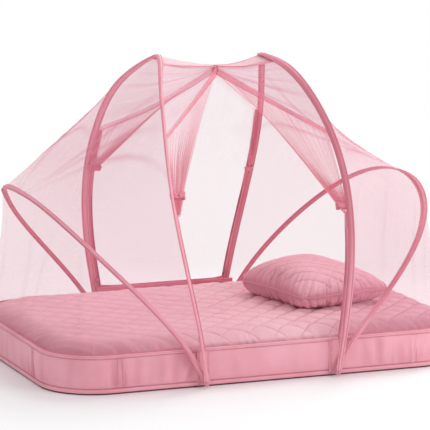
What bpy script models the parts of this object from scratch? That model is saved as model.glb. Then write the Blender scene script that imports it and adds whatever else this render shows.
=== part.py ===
# Baby bed net: a soft tray base with a quilted mattress and a pillow, under four sprung wire
# hoops that pivot at four feet and carry the net walls, the roof and the tied-back leaves.
# Metres, +Z up. The origin is the middle of the underside, +X runs along the bed to the
# right-hand end, and -Y is the open doorway.
import math

import bmesh
import bpy
from mathutils import Vector

# Driving dimensions of the base
base_length = 0.966
base_width = 0.650
corner_radius = 0.125
rim_height = 0.086
rim_thickness = 0.006
binding_height = 0.008
floor_thickness = 0.004
touching_gap = 0.0003

# Mattress and pillow
mattress_clearance = 0.0008
mattress_crown = 0.112
mattress_shoulder = 0.080
mattress_edge = 0.050
mattress_cover_wall = 0.004
mattress_core_height = 0.066
quilt_diamond = 0.065
quilt_depth = 0.004
pillow_width = 0.220
pillow_length = 0.287
pillow_thickness = 0.086
pillow_seam_share = 0.34
pillow_centre = (0.2385, -0.0135)
pillow_turn = 16.0
pillow_wall = 0.002
pillow_fill_clearance = 0.0055
pillow_quilt_depth = 0.0025

# Feet: patch, low hoop eye and tall hoop eye, one outside the other on one pin
foot_spacing = 0.308
pivot_height = 0.012
patch_thickness = 0.0015
patch_width = 0.044
low_eye_offset = 0.010
hoop_pitch = 0.012
cap_thickness = 0.005
cap_radius = 0.0065
cap_length = 0.0165
cap_neck_width = 0.008
cap_gap = 0.0008
pin_radius = 0.0016
pin_flange_radius = 0.004
pin_head_thickness = 0.002
eye_clearance = 0.0004

# Hoops. A hoop's lean gives how far it stands out past its feet: u, u squared and u cubed
# terms, where u is the share of the rise. The low hoop's terms are shares of the length
# between a foot and the end of the base.
wire_radius = 0.00125
bore_radius = 0.0020
low_hoop = {
    "rise": 0.376, "lean_shares": (0.465, 1.040, -0.599), "roundness": 2.95, "flare": 0.099,
    "belly": 0.130, "width": 0.015, "thickness": 0.006, "twist": 0.0,
}
tall_hoop = {
    "rise": 0.661, "lean": (0.084, 0.161, -0.267), "roundness": 2.0, "flare": -0.181,
    "belly": 0.200, "width": 0.018, "thickness": 0.006, "twist": 35.0,
}
foot_width = 0.011
foot_taper_share = 0.25
points_per_leg = 17

# Net, roof and curtains
net_thickness = 0.0012
end_net_column = 0.046
seam_offset = 0.004
seam_gap = 0.0007
net_start_height = 0.016
knot_height = 0.648
knot_gap = 0.001
ridge_half_width = 0.036
ridge_half_width_at_knot = 0.008
hip_share = 0.765
# by side and face: how high each leaf is tied, and how far along its hip it reaches
tie_shares = {(-1, -1): 0.615, (-1, 1): 0.58, (1, -1): 0.55, (1, 1): 0.55}
leaf_reaches = {(-1, -1): 0.96, (-1, 1): 0.96, (1, -1): 0.96, (1, 1): 0.30}
leaf_folds = 8
leaf_thickness = 0.0008
leaf_drop = 0.0011
fold_depth = 0.003
neck_width = 0.020
neck_offset = 0.0085
tail_length = 0.030
tie_height = 0.009
tie_drop = 0.008
tie_wall = 0.0016
tie_clearance = 0.0016
sill_height = 0.011
sill_half_length = 0.146
rear_wall_offset = 0.006
rear_wall_overhang = 0.0022

# Zips beside the tall hoop's legs
zip_width = 0.010
zip_thickness = 0.0012
zip_gap = 0.0008
zip_top_share = 0.46
slider_width = 0.008
slider_thickness = 0.005
slider_length = 0.014
slider_share = 0.150
slider_top_share = 0.300
slider_gap = 0.0008
pull_length = 0.018

half_width = base_width / 2
foot_x = foot_spacing / 2
low_hoop["span"] = half_width + low_eye_offset
low_hoop["lean"] = [share * (base_length / 2 - foot_x) for share in low_hoop["lean_shares"]]
tall_hoop["span"] = low_hoop["span"] + hoop_pitch
sides = {"left": -1, "right": 1}
faces = {"front": -1, "rear": 1}


def make_material(name, color, roughness, metallic=0.0):
    material = bpy.data.materials.new(name)
    material.use_nodes = True
    shader = material.node_tree.nodes["Principled BSDF"]
    shader.inputs["Base Color"].default_value = (*color, 1.0)
    shader.inputs["Roughness"].default_value = roughness
    shader.inputs["Metallic"].default_value = metallic
    return material


def make_object(name, points, polygons, material, parent=None):
    """One closed body from points and faces, with its normals turned outwards."""
    mesh = bpy.data.meshes.new(name)
    mesh.from_pydata([tuple(point) for point in points], [], polygons)
    shape = bmesh.new()
    shape.from_mesh(mesh)
    bmesh.ops.recalc_face_normals(shape, faces=shape.faces)
    shape.to_mesh(mesh)
    shape.free()
    mesh.shade_smooth()
    mesh.set_sharp_from_angle(angle=math.radians(40))
    mesh.materials.append(material)
    made = bpy.data.objects.new(name, mesh)
    bpy.context.scene.collection.objects.link(made)
    if parent is not None:
        made.parent = parent
        made.matrix_parent_inverse = parent.matrix_world.inverted()
    return made


def make_pivot(name, place):
    """An empty that stands on a joint's axis and carries the pieces that turn about it."""
    pivot = bpy.data.objects.new(name, None)
    pivot.location = place
    bpy.context.scene.collection.objects.link(pivot)
    bpy.context.view_layer.update()
    return pivot


def outline(inset, corner_steps=8):
    """The base's rounded rectangle, moved in by inset, anticlockwise from the front right."""
    reach = Vector((base_length / 2 - corner_radius, half_width - corner_radius))
    radius = corner_radius - inset
    points = []
    for quarter, (x, y) in enumerate(((1, -1), (1, 1), (-1, 1), (-1, -1))):
        for step in range(corner_steps + 1):
            angle = math.radians(-90 + 90 * quarter + 90 * step / corner_steps)
            points.append((x * reach.x + radius * math.cos(angle), y * reach.y + radius * math.sin(angle)))
    return points


def prism(loop, low, high):
    count = len(loop)
    points = [(x, y, low) for x, y in loop] + [(x, y, high) for x, y in loop]
    polygons = [[k, (k + 1) % count, count + (k + 1) % count, count + k] for k in range(count)]
    polygons += [list(range(count))[::-1], list(range(count, 2 * count))]
    return points, polygons


def band(outer, inner, lift):
    """A closed band between two loops of as many 3-D points, extruded by the vector lift."""
    count = len(outer)
    points = outer + inner + [p + lift for p in outer] + [p + lift for p in inner]
    polygons = []
    for k in range(count):
        n = (k + 1) % count
        polygons.append([k, n, n + 2 * count, k + 2 * count])
        polygons.append([n + count, k + count, k + 3 * count, n + 3 * count])
        polygons.append([n, k, k + count, n + count])
        polygons.append([k + 2 * count, n + 2 * count, n + 3 * count, k + 3 * count])
    return points, polygons


def rim_band(low, high):
    outer = [Vector((x, y, low)) for x, y in outline(0)]
    inner = [Vector((x, y, low)) for x, y in outline(rim_thickness)]
    return band(outer, inner, Vector((0, 0, high - low)))


def turned(profile, x, z, face, steps=12):
    """A body turned about the Y axis through (x, z), from (radius, distance from y = 0) pairs."""
    points = []
    for radius, distance in profile:
        for step in range(steps):
            angle = 2 * math.pi * step / steps
            points.append((x + radius * math.cos(angle), face * distance, z + radius * math.sin(angle)))
    polygons = [list(range(steps)), list(range(len(points) - steps, len(points)))]
    for ring in range(len(profile) - 1):
        for step in range(steps):
            a, b = ring * steps + step, ring * steps + (step + 1) % steps
            polygons.append([a, b, b + steps, a + steps])
    return points, polygons


def tube(rings, bores=None):
    """A body through rings of points, solid, or hollow along bores of as many points."""
    count = len(rings[0])
    points = [point for ring in rings for point in ring]
    polygons = []
    for row in range(len(rings) - 1):
        for k in range(count):
            a, b = row * count + k, row * count + (k + 1) % count
            polygons.append([a, b, b + count, a + count])
    last = (len(rings) - 1) * count
    if bores is None:
        return points, polygons + [list(range(count)), list(range(last, last + count))]
    shift = len(points)
    polygons += [[k + shift for k in reversed(polygon)] for polygon in polygons]
    for k in range(count):
        n = (k + 1) % count
        polygons += [[k, n, n + shift, k + shift]]
        polygons += [[last + k, last + n, last + n + shift, last + k + shift]]
    return points + [point for ring in bores for point in ring], polygons


def cloth(grid, thickness):
    """A closed sheet of that thickness through a grid of points, given row by row."""
    rows, columns = len(grid), len(grid[0])
    front, back = [], []
    for i in range(rows):
        for j in range(columns):
            down = grid[min(i + 1, rows - 1)][j] - grid[max(i - 1, 0)][j]
            along = grid[i][min(j + 1, columns - 1)] - grid[i][max(j - 1, 0)]
            normal = along.cross(down).normalized() * thickness / 2
            front.append(grid[i][j] + normal)
            back.append(grid[i][j] - normal)
    polygons, shift = [], rows * columns
    for i in range(rows - 1):
        for j in range(columns - 1):
            a = i * columns + j
            for triangle in ([a, a + 1, a + columns], [a + 1, a + 1 + columns, a + columns]):
                polygons += [triangle, [k + shift for k in reversed(triangle)]]
    edge = [j for j in range(columns)] + [i * columns + columns - 1 for i in range(1, rows)]
    edge += [(rows - 1) * columns + j for j in range(columns - 2, -1, -1)]
    edge += [i * columns for i in range(rows - 2, 0, -1)]
    for k, a in enumerate(edge):
        b = edge[(k + 1) % len(edge)]
        polygons.append([b, a, a + shift, b + shift])
    return front + back, polygons


def oriented_box(centre, across, out, along, sizes):
    """Eight corners and six faces of a box with its sides along three unit vectors."""
    points = []
    for a, b, c in ((i, j, k) for i in (-1, 1) for j in (-1, 1) for k in (-1, 1)):
        points.append(centre + across * (a * sizes[0] / 2) + out * (b * sizes[1] / 2) + along * (c * sizes[2] / 2))
    polygons = [[0, 1, 3, 2], [4, 6, 7, 5], [0, 4, 5, 1], [2, 3, 7, 6], [0, 2, 6, 4], [1, 5, 7, 3]]
    return points, polygons


def hoop_point(hoop, side, face, share):
    """The hoop's centreline where it has risen by share of its rise, on one face of the net."""
    lean = sum(term * share ** (power + 1) for power, term in enumerate(hoop["lean"]))
    reach = hoop["span"] * math.sqrt(max(0.0, 1 - share ** hoop["roundness"]))
    reach *= (1 + hoop["flare"] * share**2) * (1 + hoop["belly"] * share * (1 - share))
    return Vector((side * (foot_x + lean), face * reach, pivot_height + hoop["rise"] * share))


def hoop_frame(hoop, side, face, share):
    """Centre, the sleeve's wide axis pointing away from the roof, and its normal into the net."""
    centre = hoop_point(hoop, side, face, share)
    step = 0.004
    ahead = hoop_point(hoop, side, face, min(1.0, share + step))
    behind = hoop_point(hoop, side, face, max(0.0, share - step))
    if share > 1 - step:
        ahead = hoop_point(hoop, side, -face, 1 - step)
        behind = hoop_point(hoop, side, face, 1 - step)
    along = (ahead - behind).normalized()
    tilt = math.atan2(sum(hoop["lean"]), hoop["rise"])
    twist = math.radians(hoop["twist"]) * (1 - share**4)
    wide = Vector((side * math.cos(tilt) * math.cos(twist), face * math.sin(twist), -math.sin(tilt) * math.cos(twist)))
    wide = (wide - along * wide.dot(along)).normalized()
    inward = wide.cross(along).normalized()
    if inward.dot(Vector((0, 0, pivot_height)) - centre) < 0:
        inward = -inward
    return centre, wide, inward


def share_at(hoop, distance):
    """The share of the rise at which the leg is that far from its pin."""
    low, high = 0.0, 0.5
    start = hoop_point(hoop, 1, 1, 0)
    for _ in range(40):
        middle = (low + high) / 2
        if (hoop_point(hoop, 1, 1, middle) - start).length < distance:
            low = middle
        else:
            high = middle
    return low


def hoop_stations(hoop):
    """(face, share) pairs from the front foot over the top to the rear foot."""
    first = math.asin(share_at(hoop, cap_length + cap_gap))
    angles = [first + (math.pi / 2 - first) * k / points_per_leg for k in range(points_per_leg + 1)]
    front = [(-1, math.sin(angle)) for angle in angles]
    return front + [(1, share) for _, share in reversed(front[:-1])]


def section(frame, width, thickness):
    """Six points of a flat lens about the frame's centre."""
    centre, wide, inward = frame
    ring = []
    for k in range(6):
        angle = math.radians(60 * k)
        rise = math.sin(angle) / math.sin(math.radians(60))
        ring.append(centre + wide * (width / 2 * math.cos(angle)) + inward * (thickness / 2 * rise))
    return ring


def hoop_parts(name, hoop, side, parent):
    """The sprung wire, its fabric sleeve and the two end caps with their eyes."""
    frames, outer, bores, wires = [], [], [], []
    for face, share in hoop_stations(hoop):
        frame = hoop_frame(hoop, side, face, share)
        grown = min(1.0, share / foot_taper_share)
        width = foot_width + (hoop["width"] - foot_width) * grown
        frames.append(frame)
        outer.append(section(frame, width, hoop["thickness"]))
        bores.append(section(frame, 2 * bore_radius, 2 * bore_radius * math.sin(math.radians(60))))
        wires.append(section(frame, 2 * wire_radius, 2 * wire_radius * math.sin(math.radians(60))))
    make_object(f"{name}_wire", *tube(wires), steel, parent)
    make_object(f"{name}_sleeve", *tube(outer, bores), tape_fabric, parent)
    leg = Vector((side * hoop["lean"][0], 0, hoop["rise"])).normalized()
    for face_name, face in faces.items():
        start = Vector((side * foot_x, face * (hoop["span"] - cap_thickness / 2), pivot_height))
        across = Vector((-leg.z, 0, leg.x))
        eye, edge = [], []
        eye_radius = pin_radius + eye_clearance
        for k in range(10):
            angle = math.radians(40 + 280 * k / 9)
            ray = leg * math.cos(angle) + across * math.sin(angle)
            eye.append(start + ray * eye_radius)
            edge.append(start + ray * cap_radius)
        for angle in (-14, 14):
            ray = leg * math.cos(math.radians(angle)) + across * math.sin(math.radians(angle))
            corner = leg * cap_length + across * math.copysign(cap_neck_width / 2, angle)
            eye.append(start + ray * eye_radius)
            edge.append(start + corner)
        lift = Vector((0, face * cap_thickness, 0))
        make_object(f"{name}_{face_name}_cap", *band(edge, eye, lift), cap_plastic, parent)


def seam(hoop, side, face, share, offset, thickness=net_thickness):
    """Where cloth lies against the inner face of a sleeve, offset along the sleeve's width."""
    centre, wide, inward = hoop_frame(hoop, side, face, share)
    lift = hoop["thickness"] / 2 + seam_gap + thickness / 2
    return centre + wide * offset + inward * lift


def start_share(hoop):
    return (rim_height + net_start_height - pivot_height) / hoop["rise"]


def hoop_walk(hoop, s):
    """(face, share) at s from -1, just above the front rim, over the top at 0, to 1 behind."""
    first = math.asin(start_share(hoop))
    share = math.sin(math.pi / 2 - (math.pi / 2 - first) * abs(s))
    return (1 if s > 0 else -1), share


def rim_walk(side, s):
    """The middle of the rim's top, from the front foot round the end to the rear foot."""
    inset = rim_thickness / 2
    radius = corner_radius - inset
    straight = base_length / 2 - corner_radius - foot_x
    arc = radius * math.pi / 2
    end = half_width - corner_radius
    left = (straight + arc + end) * (1 - abs(s))
    face = 1 if s > 0 else -1
    if left < straight:
        x, y = foot_x + left, half_width - inset
    elif left < straight + arc:
        angle = (left - straight) / radius
        x = base_length / 2 - corner_radius + radius * math.sin(angle)
        y = half_width - corner_radius + radius * math.cos(angle)
    else:
        x, y = base_length / 2 - inset, end - (left - straight - arc)
    return Vector((side * x, face * y, rim_height + touching_gap + net_thickness / 2))


def end_net(side, rows=5):
    walk = base_length / 2 - foot_x + half_width - corner_radius * (2 - math.pi / 2)
    columns = 2 * math.ceil(walk / end_net_column) + 1
    grid = []
    for i in range(rows):
        v = i / (rows - 1)
        row = []
        for j in range(columns):
            s = -1 + 2 * j / (columns - 1)
            top = seam(low_hoop, side, *hoop_walk(low_hoop, s), seam_offset)
            foot = rim_walk(side, s)
            row.append(top.lerp(foot, v))
        grid.append(row)
    return grid


def side_net(side, columns=21, rows=4, sag=0.010):
    grid = []
    for i in range(rows):
        v = i / (rows - 1)
        row = []
        for j in range(columns):
            s = -1 + 2 * j / (columns - 1)
            low = seam(low_hoop, side, *hoop_walk(low_hoop, s), -seam_offset)
            high = seam(tall_hoop, side, *hoop_walk(tall_hoop, s), seam_offset)
            hollow = Vector((-side, 0, -1)).normalized() * (sag * math.sin(math.pi * v) * (1 - s * s))
            row.append(low.lerp(high, v) + hollow)
        grid.append(row)
    return grid


def share_with_reach(reach):
    """The share of the rise at which the tall hoop's leg is that far from the middle."""
    low, high = 0.5, 1.0
    for _ in range(40):
        middle = (low + high) / 2
        if abs(hoop_point(tall_hoop, 1, 1, middle).y) > reach:
            low = middle
        else:
            high = middle
    return low


def roof_walk(t):
    """Share of the rise between the ridge band's edge, t = 0, and the hip, t = 1."""
    top = math.asin(share_with_reach(ridge_half_width + touching_gap))
    return math.sin(top + (math.asin(hip_share) - top) * t)


def knot_point(side, reach, drop=0.0):
    return Vector((side * knot_gap, reach, knot_height - drop))


def sagged(start, end, v, sag):
    return start.lerp(end, v) - Vector((0, 0, sag * math.sin(math.pi * v)))


def ridge_half(side, rows=7, columns=5):
    """The solid band over the top, from the hoop's crown down to the middle of the roof."""
    grid = []
    for i in range(rows):
        v = i / (rows - 1)
        row = []
        for j in range(columns):
            across = -1 + 2 * j / (columns - 1)
            face = 1 if across > 0 else -1
            share = share_with_reach(ridge_half_width * abs(across)) if across else 1.0
            start = seam(tall_hoop, side, face, share, -seam_offset)
            row.append(sagged(start, knot_point(side, across * ridge_half_width_at_knot), v, 0.008))
        grid.append(row)
    return grid


def hip_line(side, face, v, drop=0.0):
    """The roof's lower edge: v = 0 at the tall hoop's leg, v = 1 at the knot."""
    start = seam(tall_hoop, side, face, hip_share, -seam_offset)
    end = knot_point(side, face * (ridge_half_width_at_knot + 0.004), 0.010)
    return sagged(start, end, v, 0.012) - Vector((0, 0, drop))


def gusset(side, face, rows=6, columns=6):
    """The net triangle between the ridge band, the tall hoop and the hip."""
    grid = []
    for i in range(rows):
        v = i / (rows - 1)
        row = []
        for j in range(columns):
            t = j / (columns - 1)
            start = seam(tall_hoop, side, face, roof_walk(t), -seam_offset)
            edge = ridge_half_width_at_knot + touching_gap * 2 + 0.004 * t
            end = knot_point(side, face * edge, 0.001 + 0.009 * t)
            row.append(sagged(start, end, v, 0.008 + 0.004 * t))
        grid.append(row)
    return grid


def leaf_neck(side, face, along, drop=0.0):
    """Across the gathered neck of a leaf, beside the leg; drop goes on down the leg."""
    share = tie_shares[side, face] - drop / tall_hoop["rise"]
    centre, wide, inward = hoop_frame(tall_hoop, side, face, share)
    shift = tall_hoop["width"] / 2 - 0.002 + neck_width * along
    return centre - wide * shift + inward * (tall_hoop["thickness"] / 2 + neck_offset)


def leaf(side, face, rows=7):
    """A net leaf gathered from the hip to its tie, in folds, with a short tail."""
    grid = []
    columns = 2 * leaf_folds + 1
    inward = hoop_frame(tall_hoop, side, face, tie_shares[side, face])[2]
    for i in range(rows):
        v = i / (rows - 1)
        row = []
        for j in range(columns):
            along = j / (columns - 1)
            top = hip_line(side, face, along * leaf_reaches[side, face], drop=leaf_drop)
            spread = top.lerp(leaf_neck(side, face, along), v)
            swing = math.sin(math.pi * v) * 0.030 * along * (1 - along) * 4
            fold = inward * (fold_depth * (v**0.7) * (0.5 if j % 2 else -0.5))
            row.append(spread + fold + (leaf_neck(side, face, 0) - top).normalized() * swing * 0.2)
        grid.append(row)
    for k in (1, 2):
        drop = tail_length * k / 2
        fold = [inward * (fold_depth * (0.5 if j % 2 else -0.5)) for j in range(columns)]
        grid.append([leaf_neck(side, face, j / (columns - 1), drop) + fold[j] for j in range(columns)])
    return grid


def leaf_tie(side, face, steps=14):
    """The strap round a leaf's neck: a flat oval band."""
    centre = leaf_neck(side, face, 0.5, tie_drop)
    _, wide, inward = hoop_frame(tall_hoop, side, face, tie_shares[side, face])
    along = wide.cross(inward).normalized()
    if along.z < 0:
        along = -along
    inner_wide = neck_width / 2 + tie_clearance
    inner_deep = fold_depth / 2 + leaf_thickness / 2 + tie_clearance
    start = centre - along * tie_height / 2
    outer, inner = [], []
    for k in range(steps):
        angle = 2 * math.pi * k / steps
        corner_x = math.copysign(abs(math.cos(angle)) ** 0.5, math.cos(angle))
        corner_y = math.copysign(abs(math.sin(angle)) ** 0.5, math.sin(angle))
        inner.append(start + wide * (inner_wide * corner_x) + inward * (inner_deep * corner_y))
        wall_x, wall_y = (inner_wide + tie_wall) * corner_x, (inner_deep + tie_wall) * corner_y
        outer.append(start + wide * wall_x + inward * wall_y)
    return band(outer, inner, along * tie_height)


def zip_point(side, face, share, across):
    """On the zip's tape beside the leg: across 0 is next to the sleeve and 1 is the far edge."""
    centre, wide, inward = hoop_frame(tall_hoop, side, face, share)
    return centre - wide * (tall_hoop["width"] / 2 + zip_gap + zip_width * across)


def zip_tape(side, face, rows=9):
    grid = []
    for i in range(rows):
        share = start_share(tall_hoop) + (zip_top_share - start_share(tall_hoop)) * i / (rows - 1)
        grid.append([zip_point(side, face, share, across) for across in (0, 1)])
    return grid


def slider_path(side, face):
    """Where the slider stands when the zip is closed, and the way it opens along its tape."""
    start = zip_point(side, face, slider_share, 0.5)
    end = zip_point(side, face, slider_top_share, 0.5)
    return start, (end - start).normalized()


def zip_slider(side, face):
    """The slider on the tape's inner face, with its pull hanging down."""
    middle, along = slider_path(side, face)
    _, wide, inward = hoop_frame(tall_hoop, side, face, slider_share)
    wide = (wide - along * wide.dot(along)).normalized()
    inward = (inward - along * inward.dot(along) - wide * inward.dot(wide)).normalized()
    lift = zip_thickness / 2 + slider_gap + slider_thickness / 2
    sizes = (slider_width, slider_thickness, slider_length)
    points, polygons = oriented_box(middle + inward * lift, wide, inward, along, sizes)
    shape = bmesh.new()
    corners = [shape.verts.new(point) for point in points]
    for polygon in polygons:
        shape.faces.new([corners[k] for k in polygon])
    bmesh.ops.recalc_face_normals(shape, faces=shape.faces)
    low_end = min(shape.faces, key=lambda face_: face_.calc_center_median().dot(along))
    bmesh.ops.inset_individual(shape, faces=[low_end], thickness=slider_thickness * 0.3)
    pulled = bmesh.ops.extrude_discrete_faces(shape, faces=[low_end])["faces"]
    bmesh.ops.translate(shape, verts=list(pulled[0].verts), vec=-along * pull_length)
    shape.verts.ensure_lookup_table()
    for index, vert in enumerate(shape.verts):
        vert.index = index
    made = [vert.co.copy() for vert in shape.verts], [[v.index for v in f.verts] for f in shape.faces]
    shape.free()
    return made


def rear_wall(side, rows=8, columns=7):
    """One half of the rear wall, from the zip beside the leg to the middle, sill to hip."""
    bottom = start_share(tall_hoop)
    sill_top = rim_height + touching_gap * 2 + sill_height + net_thickness / 2
    across = 1 + zip_gap / zip_width
    first = zip_point(side, 1, bottom, across)
    last = zip_point(side, 1, hip_share - 0.006, across)
    grid = []
    for i in range(rows):
        v = i / (rows - 1)
        share = bottom + (hip_share - 0.006 - bottom) * v
        bow = zip_point(side, 1, share, across) - first.lerp(last, v)
        row = []
        for j in range(columns):
            s = j / (columns - 1)
            along = sill_half_length * (1 - s) + knot_gap
            low = Vector((side * along, half_width + rear_wall_overhang, sill_top))
            high = hip_line(side, 1, s, drop=0.003) + Vector((0, rear_wall_offset, 0))
            low = first.lerp(low, min(1.0, s * (columns - 1)))
            high = last.lerp(high, min(1.0, s * (columns - 1)))
            row.append(low.lerp(high, v) + bow * (1 - s))
        grid.append(row)
    return grid


def edge_distance(x, y, inset):
    """How far a point lies inside the base's outline moved in by inset."""
    reach_x = abs(x) - (base_length / 2 - corner_radius)
    reach_y = abs(y) - (half_width - corner_radius)
    radius = corner_radius - inset
    if reach_x > 0 and reach_y > 0:
        return radius - math.hypot(reach_x, reach_y)
    return radius - max(reach_x, reach_y)


def mattress_height(x, y, inset):
    """The top of the mattress at its crown, rounding down to the shoulder inside the rim."""
    inside = max(0.0, min(1.0, edge_distance(x, y, inset) / mattress_edge))
    return mattress_crown - (mattress_crown - mattress_shoulder) * (1 - inside) ** 2


def mattress():
    """The quilted cover, a shell open underneath, and the foam core inside it."""
    inset = rim_thickness + mattress_clearance
    low = floor_thickness + touching_gap
    step = quilt_diamond / 2
    across = math.ceil(base_length / 2 / step) + 1
    deep = math.ceil(half_width / step) + 1
    count = 2 * deep + 1
    top, below = [], []
    for i in range(-across, across + 1):
        for j in range(-deep, deep + 1):
            x, y = i * step, j * step
            seam_here = (i + j) % 2 == 0 and edge_distance(x, y, inset) > mattress_edge / 2
            z = mattress_height(x, y, inset) - (quilt_depth if seam_here else 0)
            top.append((x, y, z))
            below.append((x, y, low))
    polygons, shift = [], len(top)
    for i in range(2 * across):
        for j in range(2 * deep):
            a, b = i * count + j, i * count + j + 1
            c, d = b + count, a + count
            if (i - across + j - deep) % 2 == 0:
                polygons += [[a, d, c], [a, c, b]]
            else:
                polygons += [[a, d, b], [b, d, c]]
    rows, columns = 2 * across + 1, count
    edge = [j for j in range(columns)] + [i * columns + columns - 1 for i in range(1, rows)]
    edge += [(rows - 1) * columns + j for j in range(columns - 2, -1, -1)]
    edge += [i * columns for i in range(rows - 2, 0, -1)]
    polygons += [[edge[k], edge[(k + 1) % len(edge)], edge[(k + 1) % len(edge)] + shift, edge[k] + shift]
                 for k in range(len(edge))]
    polygons.append([k + shift for k in edge])
    cover = make_object("mattress_cover", *compact(top + below, polygons), quilt_fabric)
    border = make_object("mattress_border_cutter", *prism(outline(inset), low - 0.001, 1.0), quilt_fabric)
    hollow = make_object(
        "mattress_hollow_cutter",
        *prism(outline(inset + mattress_cover_wall), low - 0.002, low + mattress_core_height + touching_gap * 2),
        quilt_fabric,
    )
    for cutter, operation in ((border, "INTERSECT"), (hollow, "DIFFERENCE")):
        cutter.hide_render = True
        cutter.display_type = "WIRE"
        cut = cover.modifiers.new(operation.lower(), "BOOLEAN")
        cut.object = cutter
        cut.operation = operation
        cut.solver = "EXACT"
    core = prism(outline(inset + mattress_cover_wall + 0.0006, 4), low, low + mattress_core_height)
    make_object("mattress_core", *core, foam)


def compact(points, polygons):
    """The same faces with the points that no face uses left out."""
    used = sorted({k for polygon in polygons for k in polygon})
    place = {old: new for new, old in enumerate(used)}
    return [points[k] for k in used], [[place[k] for k in polygon] for polygon in polygons]


def pillow_point(a, b, top, shrink, seam_here=False):
    """On the pillow's skin: a and b run from -1 to 1 across its width and length."""
    pull = 0.055
    x = (pillow_width / 2 - shrink) * a * (1 - pull * (1 - b * b))
    y = (pillow_length / 2 - shrink) * b * (1 - pull * (1 - a * a))
    dome = ((1 - a**4) * (1 - b**4)) ** 0.5 * (1 - 0.25 * (a * a + b * b) / 2)
    below = pillow_thickness * pillow_seam_share
    above = pillow_thickness - below
    z = (above - shrink) * dome - pillow_quilt_depth * seam_here if top else -min((below - shrink), (below - shrink) * dome * 1.5)
    turn = math.radians(pillow_turn)
    seat = mattress_crown + touching_gap + below
    return Vector((
        pillow_centre[0] + x * math.cos(turn) - y * math.sin(turn),
        pillow_centre[1] + x * math.sin(turn) + y * math.cos(turn),
        seat + z,
    ))


def pillow_skin(across, deep, shrink, quilted):
    """Top and bottom grids joined round the edge seam."""
    points, place, polygons = [], {}, []
    for top in (True, False):
        for i in range(across + 1):
            for j in range(deep + 1):
                on_edge = i in (0, across) or j in (0, deep)
                if on_edge and not top:
                    place[(top, i, j)] = place[(True, i, j)]
                    continue
                a = math.sin(math.pi / 2 * (2 * i / across - 1))
                b = math.sin(math.pi / 2 * (2 * j / deep - 1))
                place[(top, i, j)] = len(points)
                seam_here = quilted and top and not on_edge and (i + j) % 2 == 0
                points.append(pillow_point(a, b, top, shrink, seam_here))
    for top in (True, False):
        for i in range(across):
            for j in range(deep):
                quad = [place[(top, i, j)], place[(top, i + 1, j)], place[(top, i + 1, j + 1)], place[(top, i, j + 1)]]
                polygons.append(quad if top else quad[::-1])
    return points, polygons


def pillow(parent):
    """A cover open at a zip slot under its rear edge, and the filling inside."""
    across, deep = 14, 18
    points, polygons = pillow_skin(across, deep, 0.0, True)
    bottom = across * deep
    slot = {bottom + i * deep + deep - 2 for i in range(5, 9)}
    kept = [polygon for k, polygon in enumerate(polygons) if k not in slot]
    cover = make_object("pillow_cover", points, kept, quilt_fabric, parent)
    wall = cover.modifiers.new("wall", "SOLIDIFY")
    wall.thickness = pillow_wall
    wall.offset = -1
    make_object("pillow_fill", *pillow_skin(8, 10, pillow_fill_clearance, False), foam, parent)


def base():
    top_of_floor = floor_thickness + touching_gap
    binding_low = rim_height - binding_height
    make_object("base_floor", *prism(outline(0), 0, floor_thickness), base_fabric)
    make_object("rim_wall", *rim_band(top_of_floor, binding_low - touching_gap), base_fabric)
    make_object("rim_top_binding", *rim_band(binding_low, rim_height), binding_fabric)
    sill_low = rim_height + touching_gap
    sill_centre = Vector((0, half_width - rim_thickness / 2, sill_low + sill_height / 2))
    axes = Vector((1, 0, 0)), Vector((0, 1, 0)), Vector((0, 0, 1))
    sill = oriented_box(sill_centre, *axes, (2 * sill_half_length, rim_thickness - 0.0006, sill_height))
    make_object("rear_sill_band", *sill, tape_fabric)
    patch_high = binding_low - touching_gap
    for side_name, side in sides.items():
        for face_name, face in faces.items():
            patch_y = half_width + touching_gap + patch_thickness / 2
            centre = Vector((side * foot_x, face * patch_y, (top_of_floor + patch_high) / 2))
            patch = oriented_box(centre, *axes, (patch_width, patch_thickness, patch_high - top_of_floor))
            make_object(f"{side_name}_{face_name}_foot_patch", *patch, binding_fabric)
            make_object(f"{side_name}_{face_name}_pivot_pin", *pivot_pin(side, face), steel)


def pivot_pin(side, face):
    """Flange on the patch, a collar between the two eyes, and a head outside them."""
    patch_face = half_width + touching_gap * 2 + patch_thickness
    low_face = low_hoop["span"] - cap_thickness / 2 - touching_gap
    low_back = low_hoop["span"] + cap_thickness / 2 + touching_gap
    tall_face = tall_hoop["span"] - cap_thickness / 2 - touching_gap
    tall_back = tall_hoop["span"] + cap_thickness / 2 + touching_gap
    profile = [
        (pin_flange_radius, patch_face), (pin_flange_radius, low_face),
        (pin_radius, low_face), (pin_radius, low_back),
        (pin_radius * 2, low_back), (pin_radius * 2, tall_face),
        (pin_radius, tall_face), (pin_radius, tall_back),
        (pin_flange_radius, tall_back), (pin_flange_radius, tall_back + pin_head_thickness),
    ]
    return turned(profile, side * foot_x, pivot_height, face)


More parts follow.
